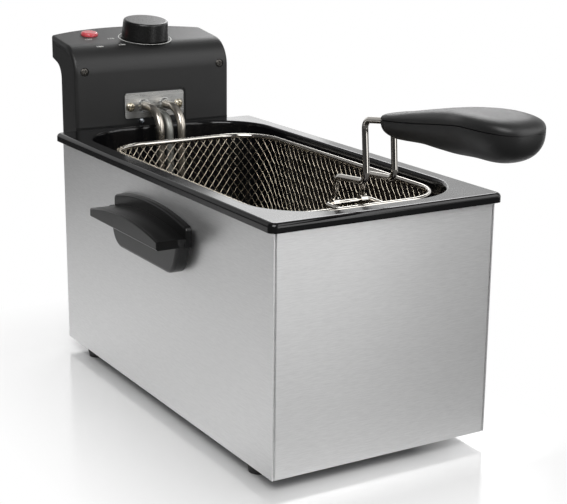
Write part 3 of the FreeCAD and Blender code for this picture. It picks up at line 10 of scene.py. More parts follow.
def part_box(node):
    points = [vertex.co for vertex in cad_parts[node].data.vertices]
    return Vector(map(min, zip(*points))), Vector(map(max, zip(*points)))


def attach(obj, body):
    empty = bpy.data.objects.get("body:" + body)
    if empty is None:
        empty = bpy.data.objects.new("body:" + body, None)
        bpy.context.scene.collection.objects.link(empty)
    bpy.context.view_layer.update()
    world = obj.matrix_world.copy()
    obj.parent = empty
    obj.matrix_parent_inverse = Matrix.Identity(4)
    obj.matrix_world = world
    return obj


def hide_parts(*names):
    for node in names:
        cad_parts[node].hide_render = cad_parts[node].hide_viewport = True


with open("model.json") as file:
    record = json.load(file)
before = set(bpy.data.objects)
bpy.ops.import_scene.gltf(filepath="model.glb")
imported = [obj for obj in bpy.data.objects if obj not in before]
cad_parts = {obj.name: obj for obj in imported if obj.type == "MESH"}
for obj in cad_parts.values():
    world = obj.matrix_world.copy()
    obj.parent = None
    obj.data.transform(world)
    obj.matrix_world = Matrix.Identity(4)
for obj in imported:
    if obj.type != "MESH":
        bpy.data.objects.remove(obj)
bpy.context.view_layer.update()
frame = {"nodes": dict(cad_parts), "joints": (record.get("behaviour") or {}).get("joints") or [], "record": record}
cadNodes = frame["nodes"]
joints = {joint["name"]: joint for joint in frame["joints"]}
print("frame loaded:", len(cadNodes), "nodes")

mm = 0.001


def linear(hexText):
    # sRGB hex to the linear colour that a socket takes
    levels = [int(hexText[i:i + 2], 16) / 255 for i in (1, 3, 5)]
    return tuple(v / 12.92 if v <= 0.04045 else ((v + 0.055) / 1.055) ** 2.4 for v in levels) + (1.0,)


def perMetre(sizeMm):
    # texture scale that gives a pattern of this size
    return 1000.0 / sizeMm


def addNode(tree, kind, inputs=(), **settings):
    # one node with its settings; an input is a value, a socket, or a node that gives its first output
    node = tree.nodes.new(kind)
    for name, value in settings.items():
        setattr(node, name, value)
    pairs = inputs.items() if isinstance(inputs, dict) else enumerate(inputs)
    for name, value in pairs:
        source = value.outputs[0] if isinstance(value, bpy.types.Node) else value
        if isinstance(source, bpy.types.NodeSocket):
            tree.links.new(source, node.inputs[name])
        else:
            node.inputs[name].default_value = source
    return node


def newFinish(name):
    finish = bpy.data.materials.new(name)
    finish.use_nodes = True
    tree = finish.node_tree
    tree.nodes.clear()
    coords = addNode(tree, "ShaderNodeTexCoord").outputs["Object"]
    return finish, tree, coords


def grain(tree, coords, lengthMm, heightMm=None, detail=2.0):
    # noise of a real size; where a height is given it is drawn out level, as brushing leaves it
    scale = (perMetre(lengthMm), perMetre(lengthMm), perMetre(heightMm or lengthMm))
    place = addNode(tree, "ShaderNodeMapping", {"Vector": coords, "Scale": scale})
    return addNode(tree, "ShaderNodeTexNoise", {"Vector": place, "Scale": 1.0, "Detail": detail,
                                                "Roughness": 0.6 if heightMm else 0.55})


noiseSpan = (0.3, 0.7)       # most of a noise lies between these
metal = {"Metallic": 1.0}


def endFinish(tree, patch, colours, gleam, rough, others, span=noiseSpan):
    # one pattern shifts the colour and one the roughness, and other inputs are set as given
    low, high = [linear(colour) for colour in colours]
    # inputs 6 and 7 of this node are its colours, and output 2 their mix
    shade = addNode(tree, "ShaderNodeMix", {"Factor": patch, 6: low, 7: high}, data_type="RGBA")
    polish = addNode(tree, "ShaderNodeMapRange", {"Value": gleam, "From Min": span[0], "From Max": span[1],
                                                  "To Min": rough[0], "To Max": rough[1]})
    shader = addNode(tree, "ShaderNodeBsdfPrincipled",
                     {"Base Color": shade.outputs[2], "Roughness": polish, **others})
    addNode(tree, "ShaderNodeOutputMaterial", {"Surface": shader})


def mottledFinish(name, colours, rough, patchMm, grainMm, others):
    # colour that drifts in soft patches, with a grain of its own in the roughness
    finish, tree, coords = newFinish(name)
    endFinish(tree, grain(tree, coords, patchMm), colours, grain(tree, coords, grainMm), rough, others)
    return finish


# Brushed stainless sheet: grey metal whose level brush lines draw its reflections out upright
def brushedStainless():
    finish, tree, coords = newFinish("brushedStainless")
    lines = grain(tree, coords, 8, 0.55, detail=3.0)   # real ones are under 0.1 mm, drawn coarse to show
    clear = addNode(tree, "ShaderNodeMapRange", {"Value": lines, "From Min": noiseSpan[0],
                                                 "From Max": noiseSpan[1]})
    relief = addNode(tree, "ShaderNodeBump", {"Height": lines, "Distance": 0.02 * mm, "Strength": 0.04})
    normal = addNode(tree, "ShaderNodeNewGeometry").outputs["True Normal"]
    along = addNode(tree, "ShaderNodeVectorMath", (normal, (0, 0, 1)), operation="CROSS_PRODUCT")
    upright = addNode(tree, "ShaderNodeVectorMath", (along, normal), operation="CROSS_PRODUCT")
    # a little x keeps the tangent from vanishing on level faces
    tangent = addNode(tree, "ShaderNodeVectorMath", (upright, (0.001, 0, 0)), operation="ADD")
    endFinish(tree, clear, ("#d6d6d6", "#e2e2e2"), lines, (0.38, 0.44),
              {"Metallic": 1.0, "Anisotropic": 0.8, "Normal": relief, "Tangent": tangent})
    return finish


# Zinc-coated sheet: dull grey with faint crystal spangle
def zincSheet():
    finish, tree, coords = newFinish("zincSheet")
    cells = addNode(tree, "ShaderNodeTexVoronoi", {"Vector": coords, "Scale": perMetre(9)})
    shade = addNode(tree, "ShaderNodeSeparateColor", {"Color": cells.outputs["Color"]})
    endFinish(tree, shade, ("#7b7e81", "#8b8e91"), shade, (0.42, 0.55), metal, span=(0, 1))
    return finish


# Vitreous enamel: deep black glass with a very slight orange peel
def blackEnamel():
    finish, tree, coords = newFinish("blackEnamel")
    peel = grain(tree, coords, 4.0)
    relief = addNode(tree, "ShaderNodeBump", {"Height": peel, "Distance": 0.02 * mm, "Strength": 0.05})
    endFinish(tree, peel, ("#0a0a0b", "#0e0e0f"), grain(tree, coords, 30), (0.11, 0.16),
              {"IOR": 1.45, "Normal": relief})
    return finish


# Moulded ABS, spark-textured tool: charcoal black with a soft sheen from its fine grain
def blackMoulding():
    finish, tree, coords = newFinish("blackMoulding")
    spark = grain(tree, coords, 0.7, detail=3.0)   # real grain is about 0.2 mm, drawn coarse to show
    relief = addNode(tree, "ShaderNodeBump", {"Height": spark, "Distance": 0.05 * mm, "Strength": 0.18})
    endFinish(tree, grain(tree, coords, 40), ("#171717", "#1c1c1c"), spark, (0.40, 0.50),
              {"IOR": 1.5, "Normal": relief})
    return finish


# Smooth black moulding: tighter sheen than the head, satin on the handles and glossier on the knob
def smoothMoulding(name, rough, ior):
    finish, tree, coords = newFinish(name)
    endFinish(tree, grain(tree, coords, 30), ("#0e0e0e", "#131313"),
              grain(tree, coords, 0.9, detail=3.0), rough, {"IOR": ior})
    return finish


# Drawn stainless tube: warm satin grey, a little browner where heat has tinted it
def heaterTube():
    return mottledFinish("heaterTube", colours=("#b8b1a7", "#cdc7bd"), rough=(0.24, 0.32),
                         patchMm=22, grainMm=22, others=metal)


# Capillary bulb of dull tinned copper: pale matt grey
def sensorBulb():
    return mottledFinish("sensorBulb", colours=("#8d8e8a", "#a0a19c"), rough=(0.45, 0.58),
                         patchMm=8, grainMm=1.5, others=metal)


# Nickel-plated steel plate: bright, brushed level
def nickelPlate():
    finish, tree, coords = newFinish("nickelPlate")
    lines = grain(tree, coords, 18, 0.35, detail=3.0)
    relief = addNode(tree, "ShaderNodeBump", {"Height": lines, "Distance": 0.03 * mm, "Strength": 0.12})
    endFinish(tree, lines, ("#b6b6b4", "#d2d2d0"), lines, (0.24, 0.38), {"Metallic": 1.0, "Normal": relief})
    return finish


# Tinned mesh wire: warm grey, dulled by use
def tinnedWire():
    return mottledFinish("tinnedWire", colours=("#a1988a", "#bfb7a8"), rough=(0.16, 0.26),
                         patchMm=6, grainMm=6, others=metal)


# Chrome-plated wire: mirror bright, so it shows dark cores and white streaks
def chromeWire():
    return mottledFinish("chromeWire", colours=("#bcb8b1", "#cbc7c1"), rough=(0.07, 0.12),
                         patchMm=25, grainMm=25, others=metal)


# Nickel-plated screw steel: yellowish, softly polished
def screwNickel():
    return mottledFinish("screwNickel", colours=("#b9b09c", "#cec7b6"), rough=(0.2, 0.32),
                         patchMm=2.5, grainMm=1.0, others=metal)


# Black oxide screw steel: dark metal with a brown cast
def blackScrew():
    return mottledFinish("blackScrew", colours=("#4c4a47", "#605d59"), rough=(0.30, 0.42),
                         patchMm=1.5, grainMm=0.8, others={"Metallic": 0.9})


# Zinc-plated bolt: cool, pale and slightly blue
def zincBolt():
    return mottledFinish("zincBolt", colours=("#b9bfc6", "#d4d9de"), rough=(0.2, 0.3),
                         patchMm=2, grainMm=1.0, others=metal)


# Red polycarbonate lens: glossy, glowing a little at its edge
def redLens():
    glow = {"Subsurface Weight": 0.3, "Subsurface Radius": (4 * mm, 1 * mm, 1 * mm)}
    return mottledFinish("redLens", colours=("#b8434b", "#c9545b"), rough=(0.1, 0.18),
                         patchMm=5, grainMm=3, others={"IOR": 1.58, **glow})


# Screen-printed white ink: flat, slightly uneven
def whiteInk():
    return mottledFinish("whiteInk", colours=("#c9c9c6", "#dededb"), rough=(0.5, 0.62),
                         patchMm=0.6, grainMm=1.0, others={})


# Nitrile rubber foot: matt black with a dusty bloom
def footRubber():
    return mottledFinish("footRubber", colours=("#161616", "#222221"), rough=(0.68, 0.82),
                         patchMm=3, grainMm=1.0, others={})


# Natural phenolic moulding: cream-grey and dry
def phenolic():
    return mottledFinish("phenolicMoulding", colours=("#b8b09c", "#c6bfac"), rough=(0.5, 0.65),
                         patchMm=2, grainMm=1.0, others={})


# Turned brass shaft: yellow metal with fine turning marks round it
def turnedBrass():
    finish, tree, coords = newFinish("turnedBrass")
    lines = grain(tree, coords, 30, 0.3)
    endFinish(tree, lines, ("#b08d4c", "#cba865"), lines, (0.2, 0.34), metal)
    return finish


# Silicone sleeve over copper lead: soft brick red
def siliconeSleeve():
    return mottledFinish("siliconeSleeve", colours=("#7a2a22", "#8a332a"), rough=(0.5, 0.6),
                         patchMm=4, grainMm=1.0, others={})


# Gloss-moulded nylon button: saturated red
def redNylon():
    return mottledFinish("redNylon", colours=("#a31a1c", "#b52224"), rough=(0.25, 0.35),
                         patchMm=3, grainMm=1.0, others={})


finishes = {
    "brushed_sheet": brushedStainless(), "zinc_sheet": zincSheet(), "foot_rubber": footRubber(),
    "black_moulding": blackMoulding(), "black_enamel": blackEnamel(), "heater_steel": heaterTube(),
    "plate_nickel": nickelPlate(), "basket_wire": chromeWire(), "screw_plate": screwNickel(),
    "black_screw": blackScrew(), "red_lens": redLens(), "brass_shaft": turnedBrass(),
    "inner_plastic": phenolic(), "lead_cover": siliconeSleeve(), "reset_plastic": redNylon(),
}
# finishes for pieces that differ from the rest of their slot
ownFinishes = {
    "bulb": sensorBulb(), "ink": whiteInk(), "mesh": tinnedWire(), "bolt": zincBolt(),
    "handle": smoothMoulding("handleMoulding", (0.27, 0.33), 1.38),
    "knob": smoothMoulding("knobMoulding", (0.26, 0.32), 1.55),
}
ownNodes = {"sensor_tube": "bulb", "side_handle_left": "handle", "side_handle_right": "handle",
            "knob": "knob"}
for subpart in frame["record"]["subparts"]:
    mesh = cadNodes[subpart["node"]].data
    mesh.materials.clear()
    mesh.materials.append(finishes[subpart["material_slot"]])
for node, own in ownNodes.items():
    cadNodes[node].data.materials[0] = ownFinishes[own]
print("finishes:", len(finishes) + len(ownFinishes))


def newObject(name, data):
    made = bpy.data.objects.new(name, data)
    bpy.context.scene.collection.objects.link(made)
    return made


def addPiece(name, mesh, body, slot, *replaced):
    # a finished piece at the origin, riding on its body
    piece = newObject(name, mesh)
    if not mesh.materials:
        mesh.materials.append(finishes[slot])
    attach(piece, body)
    if replaced:
        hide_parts(*replaced)
    return piece


def meshOf(name, points, faces, weld=None):
    # a mesh whose faces point outwards, with points nearer than weld made one
    mesh = bpy.data.meshes.new(name)
    mesh.from_pydata([tuple(point) for point in points], [], faces)
    mesh.update()
    tidy = bmesh.new()
    tidy.from_mesh(mesh)
    if weld:
        bmesh.ops.remove_doubles(tidy, verts=tidy.verts, dist=weld)
    bmesh.ops.recalc_face_normals(tidy, faces=tidy.faces)
    tidy.to_mesh(mesh)
    tidy.free()
    return mesh


def joinRings(count, size, start=0):
    # faces between neighbouring rings of points, each ring closed on itself
    faces = []
    for ring in range(count - 1):
        near = start + ring * size
        far = near + size
        for i in range(size):
            j = (i + 1) % size
            faces.append((near + i, near + j, far + j, far + i))
    return faces


def smoothMesh(mesh, sharpDegrees):
    mesh.shade_smooth()
    mesh.set_sharp_from_angle(angle=math.radians(sharpDegrees))


def newTree(name, sizes):
    # an empty node tree with a named input for each size
    tree = bpy.data.node_groups.new(name, "GeometryNodeTree")
    tree.interface.new_socket("Geometry", in_out="INPUT", socket_type="NodeSocketGeometry")
    tree.interface.new_socket("Geometry", in_out="OUTPUT", socket_type="NodeSocketGeometry")
    for label, value in sizes.items():
        kind = "NodeSocketInt" if isinstance(value, int) else "NodeSocketFloat"
        tree.interface.new_socket(label, in_out="INPUT", socket_type=kind)
    given = addNode(tree, "NodeGroupInput").outputs
    return tree, given


def endTree(tree, geometry, finish):
    real = addNode(tree, "GeometryNodeRealizeInstances", {"Geometry": geometry})
    dressed = addNode(tree, "GeometryNodeSetMaterial", {"Geometry": real, "Material": finish})
    addNode(tree, "NodeGroupOutput", {"Geometry": dressed})


def plainMesh(holder):
    # the evaluated object as a mesh of its own; the object goes
    depsgraph = bpy.context.evaluated_depsgraph_get()
    mesh = bpy.data.meshes.new_from_object(holder.evaluated_get(depsgraph))
    bpy.data.objects.remove(holder)
    return mesh


def growMesh(name, tree, sizes, carrierMesh=None):
    # runs a tree on a carrier and keeps the plain mesh that comes out
    carrier = newObject(name + "Carrier", carrierMesh or bpy.data.meshes.new(name + "Carrier"))
    grow = carrier.modifiers.new("grow", "NODES")
    grow.node_group = tree
    for item in tree.interface.items_tree:
        if item.in_out == "INPUT" and item.name in sizes:
            grow[item.identifier] = sizes[item.name]
    mesh = plainMesh(carrier)
    mesh.name = name
    return mesh


# Basket: woven wire, set out along the rim's plan
rimLow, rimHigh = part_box("basket_rim")
rimWire = 2.25 * mm                  # radius of the rim's own wire
basket = {
    "Half Width": (rimHigh[0] - rimLow[0]) / 2 - rimWire,
    "Front": rimLow[1] + rimWire,
    "Back": rimHigh[1] - rimWire,
    "Corner": 40 * mm,
    "Draft": 8 * mm,
    "Floor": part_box("basket_mesh_bottom")[0][2] + 0.6 * mm,   # middle of the floor's weave
    "Top": (rimLow[2] + rimHigh[2]) / 2,
    "Foot Bend": 7 * mm,
    "Wire": 0.42 * mm,               # radius
    "Weave": 0.3 * mm,               # how far a strand swings to each side
    "Strands": 110,                  # each way round the walls
    "Crossings": 20,                 # from the floor to the rim
    "Floor Pitch": 8 * mm,
    "Floor Strands": 45,             # each way across the bottom
    "Floor Crossings": 40,
    "Wall Steps": 2,                 # points from one crossing to the next
    "Floor Steps": 4,
    "Corner Steps": 12,
    "Wall Sides": 5,                 # flats round a wire
    "Floor Sides": 4,
}


def basketMiddle(tree, given):
    # from the origin to the middle of the basket's plan
    ends = addNode(tree, "ShaderNodeMath", (given["Back"], given["Front"]), operation="ADD")
    middle = addNode(tree, "ShaderNodeMath", (ends, 0.5), operation="MULTIPLY")
    return addNode(tree, "ShaderNodeCombineXYZ", {"Y": middle})


def rimOutline(tree, given, shift):
    # the rim's plan as a closed curve
    length = addNode(tree, "ShaderNodeMath", (given["Back"], given["Front"]), operation="SUBTRACT")
    width = addNode(tree, "ShaderNodeMath", (given["Half Width"], 2.0), operation="MULTIPLY")
    plain = addNode(tree, "GeometryNodeCurvePrimitiveQuadrilateral", {"Width": width, "Height": length})
    rounded = addNode(tree, "GeometryNodeFilletCurve",
                      {"Curve": plain, "Count": given["Corner Steps"], "Radius": given["Corner"],
                       "Limit Radius": True}, mode="POLY")
    return addNode(tree, "GeometryNodeTransform", {"Geometry": rounded, "Translation": shift})


def plainStrands(tree, strands, crossings, steps):
    # numbered straight strands with points for their crossings, and how far along a point is
    line = addNode(tree, "GeometryNodeCurvePrimitiveLine", {"End": (0, 0, 1)})
    points = addNode(tree, "ShaderNodeMath", (crossings, steps, 1.0), operation="MULTIPLY_ADD")
    fine = addNode(tree, "GeometryNodeResampleCurve", {"Curve": line, "Count": points})
    many = addNode(tree, "GeometryNodeDuplicateElements", {"Geometry": fine, "Amount": strands},
                   domain="SPLINE")
    along = addNode(tree, "GeometryNodeSplineParameter").outputs["Factor"]
    return many, along


def weave(tree, given, crossed, way):
    # over and under at each crossing
    phase = addNode(tree, "ShaderNodeMath", (crossed, math.pi), operation="MULTIPLY")
    swing = addNode(tree, "ShaderNodeMath", (phase,), operation="COSINE")
    wave = addNode(tree, "ShaderNodeMath", (swing, given["Weave"]), operation="MULTIPLY")
    return addNode(tree, "ShaderNodeMath", (wave, float(way)), operation="MULTIPLY")


def beyondBox(tree, offset, half):
    # how far a spot lies outside a box of these half sizes
    aside = addNode(tree, "ShaderNodeVectorMath", (offset,), operation="ABSOLUTE")
    beyond = addNode(tree, "ShaderNodeVectorMath", (aside, half), operation="SUBTRACT")
    past = addNode(tree, "ShaderNodeVectorMath", (beyond, (0, 0, 0)), operation="MAXIMUM")
    return addNode(tree, "ShaderNodeVectorMath", (past,), operation="LENGTH").outputs["Value"]


def wallStrands(tree, given, outline, shift, way):
    # strands that climb the wall at a slant, one way round or the other
    bend = given["Foot Bend"]
    many, climb = plainStrands(tree, given["Strands"], given["Crossings"], given["Wall Steps"])
    crossed = addNode(tree, "ShaderNodeMath", (climb, given["Crossings"]), operation="MULTIPLY")
    # where it stands on the outline: half a strand further round at each crossing
    share = addNode(tree, "ShaderNodeMath", (many.outputs["Duplicate Index"], given["Strands"]),
                    operation="DIVIDE")
    stepped = addNode(tree, "ShaderNodeMath", (crossed, 0.5 * way), operation="MULTIPLY")
    slant = addNode(tree, "ShaderNodeMath", (stepped, given["Strands"]), operation="DIVIDE")
    turned = addNode(tree, "ShaderNodeMath", (share, slant), operation="ADD")
    positive = addNode(tree, "ShaderNodeMath", (turned, 2.0), operation="ADD")
    around = addNode(tree, "ShaderNodeMath", (positive,), operation="FRACT")
    sample = addNode(tree, "GeometryNodeSampleCurve", {"Curves": outline, "Factor": around}, mode="FACTOR")
    position, tangent = sample.outputs["Position"], sample.outputs["Tangent"]
    side = addNode(tree, "ShaderNodeVectorMath", (tangent, (0, 0, 1)), operation="CROSS_PRODUCT")
    fromMiddle = addNode(tree, "ShaderNodeVectorMath", (position, shift), operation="SUBTRACT")
    away = addNode(tree, "ShaderNodeVectorMath", (side, fromMiddle), operation="DOT_PRODUCT")
    sign = addNode(tree, "ShaderNodeMath", (away.outputs["Value"],), operation="SIGN")
    outward = addNode(tree, "ShaderNodeVectorMath", {0: side, "Scale": sign}, operation="SCALE")
    # up the wall, with a round bend at its foot
    tall = addNode(tree, "ShaderNodeMath", (given["Top"], given["Floor"]), operation="SUBTRACT")
    height = addNode(tree, "ShaderNodeMath", (climb, tall), operation="MULTIPLY")
    bends = addNode(tree, "ShaderNodeMath", (height, bend), operation="DIVIDE")
    turn = addNode(tree, "ShaderNodeMath", (bends, 1.0), operation="MINIMUM")
    angle = addNode(tree, "ShaderNodeMath", (turn, math.pi / 2), operation="MULTIPLY")
    sine = addNode(tree, "ShaderNodeMath", (angle,), operation="SINE")
    cosine = addNode(tree, "ShaderNodeMath", (angle,), operation="COSINE")
    unsine = addNode(tree, "ShaderNodeMath", (1.0, sine), operation="SUBTRACT")
    uncosine = addNode(tree, "ShaderNodeMath", (1.0, cosine), operation="SUBTRACT")
    tuck = addNode(tree, "ShaderNodeMath", (unsine, bend), operation="MULTIPLY")
    lift = addNode(tree, "ShaderNodeMath", (uncosine, bend), operation="MULTIPLY")
    past = addNode(tree, "ShaderNodeMath", (height, bend), operation="SUBTRACT")
    straight = addNode(tree, "ShaderNodeMath", (past, 0.0), operation="MAXIMUM")
    rise = addNode(tree, "ShaderNodeMath", (lift, straight), operation="ADD")
    # inwards by the wall's draft, the bend and the weave
    left = addNode(tree, "ShaderNodeMath", (1.0, climb), operation="SUBTRACT")
    lean = addNode(tree, "ShaderNodeMath", (left, given["Draft"]), operation="MULTIPLY")
    drawnIn = addNode(tree, "ShaderNodeMath", (lean, tuck), operation="ADD")
    inset = addNode(tree, "ShaderNodeMath", (drawnIn, weave(tree, given, crossed, way)), operation="ADD")
    inwards = addNode(tree, "ShaderNodeMath", (inset, -1.0), operation="MULTIPLY")
    moved = addNode(tree, "ShaderNodeVectorMath", {0: outward, "Scale": inwards}, operation="SCALE")
    standing = addNode(tree, "ShaderNodeMath", (given["Floor"], rise), operation="ADD")
    level = addNode(tree, "ShaderNodeCombineXYZ", {"Z": standing})
    plan = addNode(tree, "ShaderNodeVectorMath", (position, moved), operation="ADD")
    place = addNode(tree, "ShaderNodeVectorMath", (plan, level), operation="ADD")
    return addNode(tree, "GeometryNodeSetPosition", {"Geometry": many, "Position": place})


def floorStrands(tree, given, shift, way):
    # straight strands across the bottom at 45 degrees, kept inside its rounded outline
    pitch, strands, crossings = given["Floor Pitch"], given["Floor Strands"], given["Floor Crossings"]
    many, along = plainStrands(tree, strands, crossings, given["Floor Steps"])
    centred = addNode(tree, "ShaderNodeMath", (along, 0.5), operation="SUBTRACT")
    whole = addNode(tree, "ShaderNodeMath", (crossings, pitch), operation="MULTIPLY")
    runs = addNode(tree, "ShaderNodeMath", (centred, whole), operation="MULTIPLY")
    middle = addNode(tree, "ShaderNodeMath", (strands, 0.5, -0.5), operation="MULTIPLY_ADD")
    number = addNode(tree, "ShaderNodeMath", (many.outputs["Duplicate Index"], middle), operation="SUBTRACT")
    across = addNode(tree, "ShaderNodeMath", (number, pitch), operation="MULTIPLY")
    slope = math.sqrt(0.5)
    ahead = addNode(tree, "ShaderNodeMath", (runs, across), operation="ADD")
    aside = addNode(tree, "ShaderNodeMath", (runs, across), operation="SUBTRACT")
    x = addNode(tree, "ShaderNodeMath", (ahead, slope), operation="MULTIPLY")
    y = addNode(tree, "ShaderNodeMath", (aside, slope * way), operation="MULTIPLY")
    flat = addNode(tree, "ShaderNodeCombineXYZ", {"X": x, "Y": y})
    crossed = addNode(tree, "ShaderNodeMath", (runs, pitch), operation="DIVIDE")
    over = weave(tree, given, crossed, way)
    z = addNode(tree, "ShaderNodeMath", (given["Floor"], over), operation="ADD")
    level = addNode(tree, "ShaderNodeCombineXYZ", {"Z": z})
    plan = addNode(tree, "ShaderNodeVectorMath", (flat, shift), operation="ADD")
    place = addNode(tree, "ShaderNodeVectorMath", (plan, level), operation="ADD")
    bent = addNode(tree, "GeometryNodeSetPosition", {"Geometry": many, "Position": place})
    # the bottom's outline: a core box with round corners about it
    drawnIn = addNode(tree, "ShaderNodeMath", (given["Draft"], given["Foot Bend"]), operation="ADD")
    radius = addNode(tree, "ShaderNodeMath", (given["Corner"], drawnIn), operation="SUBTRACT")
    footX = addNode(tree, "ShaderNodeMath", (given["Half Width"], drawnIn), operation="SUBTRACT")
    coreX = addNode(tree, "ShaderNodeMath", (footX, radius), operation="SUBTRACT")
    length = addNode(tree, "ShaderNodeMath", (given["Back"], given["Front"]), operation="SUBTRACT")
    halfLength = addNode(tree, "ShaderNodeMath", (length, 0.5), operation="MULTIPLY")
    footY = addNode(tree, "ShaderNodeMath", (halfLength, drawnIn), operation="SUBTRACT")
    coreY = addNode(tree, "ShaderNodeMath", (footY, radius), operation="SUBTRACT")
    core = addNode(tree, "ShaderNodeCombineXYZ", {"X": coreX, "Y": coreY})
    outside = addNode(tree, "FunctionNodeCompare", (beyondBox(tree, flat, core), radius),
                      data_type="FLOAT", operation="GREATER_THAN")
    return addNode(tree, "GeometryNodeDeleteGeometry", {"Geometry": bent, "Selection": outside})


def wireOf(tree, strands, radius, sides):
    # a round wire along each strand, smooth to the eye
    section = addNode(tree, "GeometryNodeCurvePrimitiveCircle", {"Resolution": sides, "Radius": radius})
    solid = addNode(tree, "GeometryNodeCurveToMesh", {"Curve": strands, "Profile Curve": section,
                                                      "Fill Caps": True})
    return addNode(tree, "GeometryNodeSetShadeSmooth", {"Geometry": solid})


def makeBasketMesh():
    tree, given = newTree("wovenWalls", basket)
    shift = basketMiddle(tree, given)
    outline = rimOutline(tree, given, shift)
    strands = addNode(tree, "GeometryNodeJoinGeometry")
    for way in (-1, 1):
        slanted = wallStrands(tree, given, outline, shift, way)
        tree.links.new(slanted.outputs[0], strands.inputs[0])
    endTree(tree, wireOf(tree, strands, given["Wire"], given["Wall Sides"]), ownFinishes["mesh"])
    walls = addPiece("basketWalls", growMesh("basketWalls", tree, basket), "basket", "basket_wire",
                     "basket_mesh_front", "basket_mesh_back", "basket_mesh_left", "basket_mesh_right",
                     "basket_mesh_corners")
    tree, given = newTree("wovenFloor", basket)
    shift = basketMiddle(tree, given)
    strands = addNode(tree, "GeometryNodeJoinGeometry")
    for way in (-1, 1):
        crossing = floorStrands(tree, given, shift, way)
        tree.links.new(crossing.outputs[0], strands.inputs[0])
    endTree(tree, wireOf(tree, strands, given["Wire"], given["Floor Sides"]), ownFinishes["mesh"])
    floor = addPiece("basketFloor", growMesh("basketFloor", tree, basket), "basket", "basket_wire",
                     "basket_mesh_bottom")
    print("basket mesh:", len(walls.data.polygons), "and", len(floor.data.polygons), "faces")


# Rim wraps: strand ends curled round the rim wire, leaning one way and the other (radians)
wrap = {"Rim Radius": rimWire, "Lean": 0.35, "Sweep": 3.2, "Curl Steps": 7}


def makeRimWraps():
    sizes = dict(basket, **wrap)
    tree, given = newTree("rimWraps", sizes)
    outline = rimOutline(tree, given, basketMiddle(tree, given))
    level = addNode(tree, "ShaderNodeCombineXYZ", {"Z": given["Top"]})
    raised = addNode(tree, "GeometryNodeTransform", {"Geometry": outline, "Translation": level})
    count = addNode(tree, "ShaderNodeMath", (given["Strands"], 2.0), operation="MULTIPLY")
    points = addNode(tree, "GeometryNodeCurveToPoints", {"Curve": raised, "Count": count})
    ring = addNode(tree, "GeometryNodeCurveArc",
                   {"Resolution": given["Curl Steps"], "Radius": given["Rim Radius"],
                    "Start Angle": 0.0, "Sweep Angle": given["Sweep"]})
    section = addNode(tree, "GeometryNodeCurvePrimitiveCircle", {"Resolution": given["Wall Sides"],
                                                                 "Radius": given["Wire"]})
    curl = addNode(tree, "GeometryNodeCurveToMesh", {"Curve": ring, "Profile Curve": section})
    index = addNode(tree, "GeometryNodeInputIndex")
    odd = addNode(tree, "ShaderNodeMath", (index, 2.0), operation="MODULO")
    sign = addNode(tree, "ShaderNodeMath", (odd, 2.0, -1.0), operation="MULTIPLY_ADD")
    tilt = addNode(tree, "ShaderNodeMath", (sign, given["Lean"]), operation="MULTIPLY")
    lean = addNode(tree, "ShaderNodeCombineXYZ", {"Y": tilt})
    facing = addNode(tree, "FunctionNodeAlignRotationToVector", {"Vector": points.outputs["Tangent"]},
                     axis="Z")
    tilted = addNode(tree, "FunctionNodeRotateRotation", {"Rotation": facing, "Rotate By": lean},
                     rotation_space="LOCAL")
    curls = addNode(tree, "GeometryNodeInstanceOnPoints", {"Points": points, "Instance": curl,
                                                           "Rotation": tilted})
    endTree(tree, addNode(tree, "GeometryNodeSetShadeSmooth", {"Geometry": curls}), ownFinishes["mesh"])
    piece = addPiece("rimWraps", growMesh("rimWraps", tree, sizes), "basket", "basket_wire")
    print("rim wraps:", len(piece.data.polygons), "faces")


# Screws: pan heads with a cross recess, set on the places of the CAD screws
screws = {
    "sizes": {
        "Radius": 3.8 * mm, "Height": 2.4 * mm, "Recess": 1.5 * mm, "Slot": 0.9 * mm,
        "Segments": 32, "Rings": 16,
        "Squareness": -0.5,          # power of the distance that pushes a ball out to a pan head
        "Bar Length": 1.3,           # of the cross, in head radii
        "Least": 0.0001, "Weld": 0.0005,   # in head radii
        "Most Roll": 1.5,            # radians
        "Seed": 4,
    },
    "headScrews": {"Height": 1.3 * mm, "Recess": 1.1 * mm, "Slot": 1.2 * mm},
    "plateScrews": {"Radius": 4.6 * mm, "Height": 2.6 * mm, "Recess": 1.8 * mm, "Slot": 1.4 * mm},
    "earthScrew": {"Radius": 2.7 * mm, "Height": 4.0 * mm, "Recess": 1.2 * mm, "Slot": 0.7 * mm},
    "footScrews": {},
    "sunk": 1.2 * mm,                # how deep the head's two screws sit in its cover
    "sharp": 35,                     # degrees
}


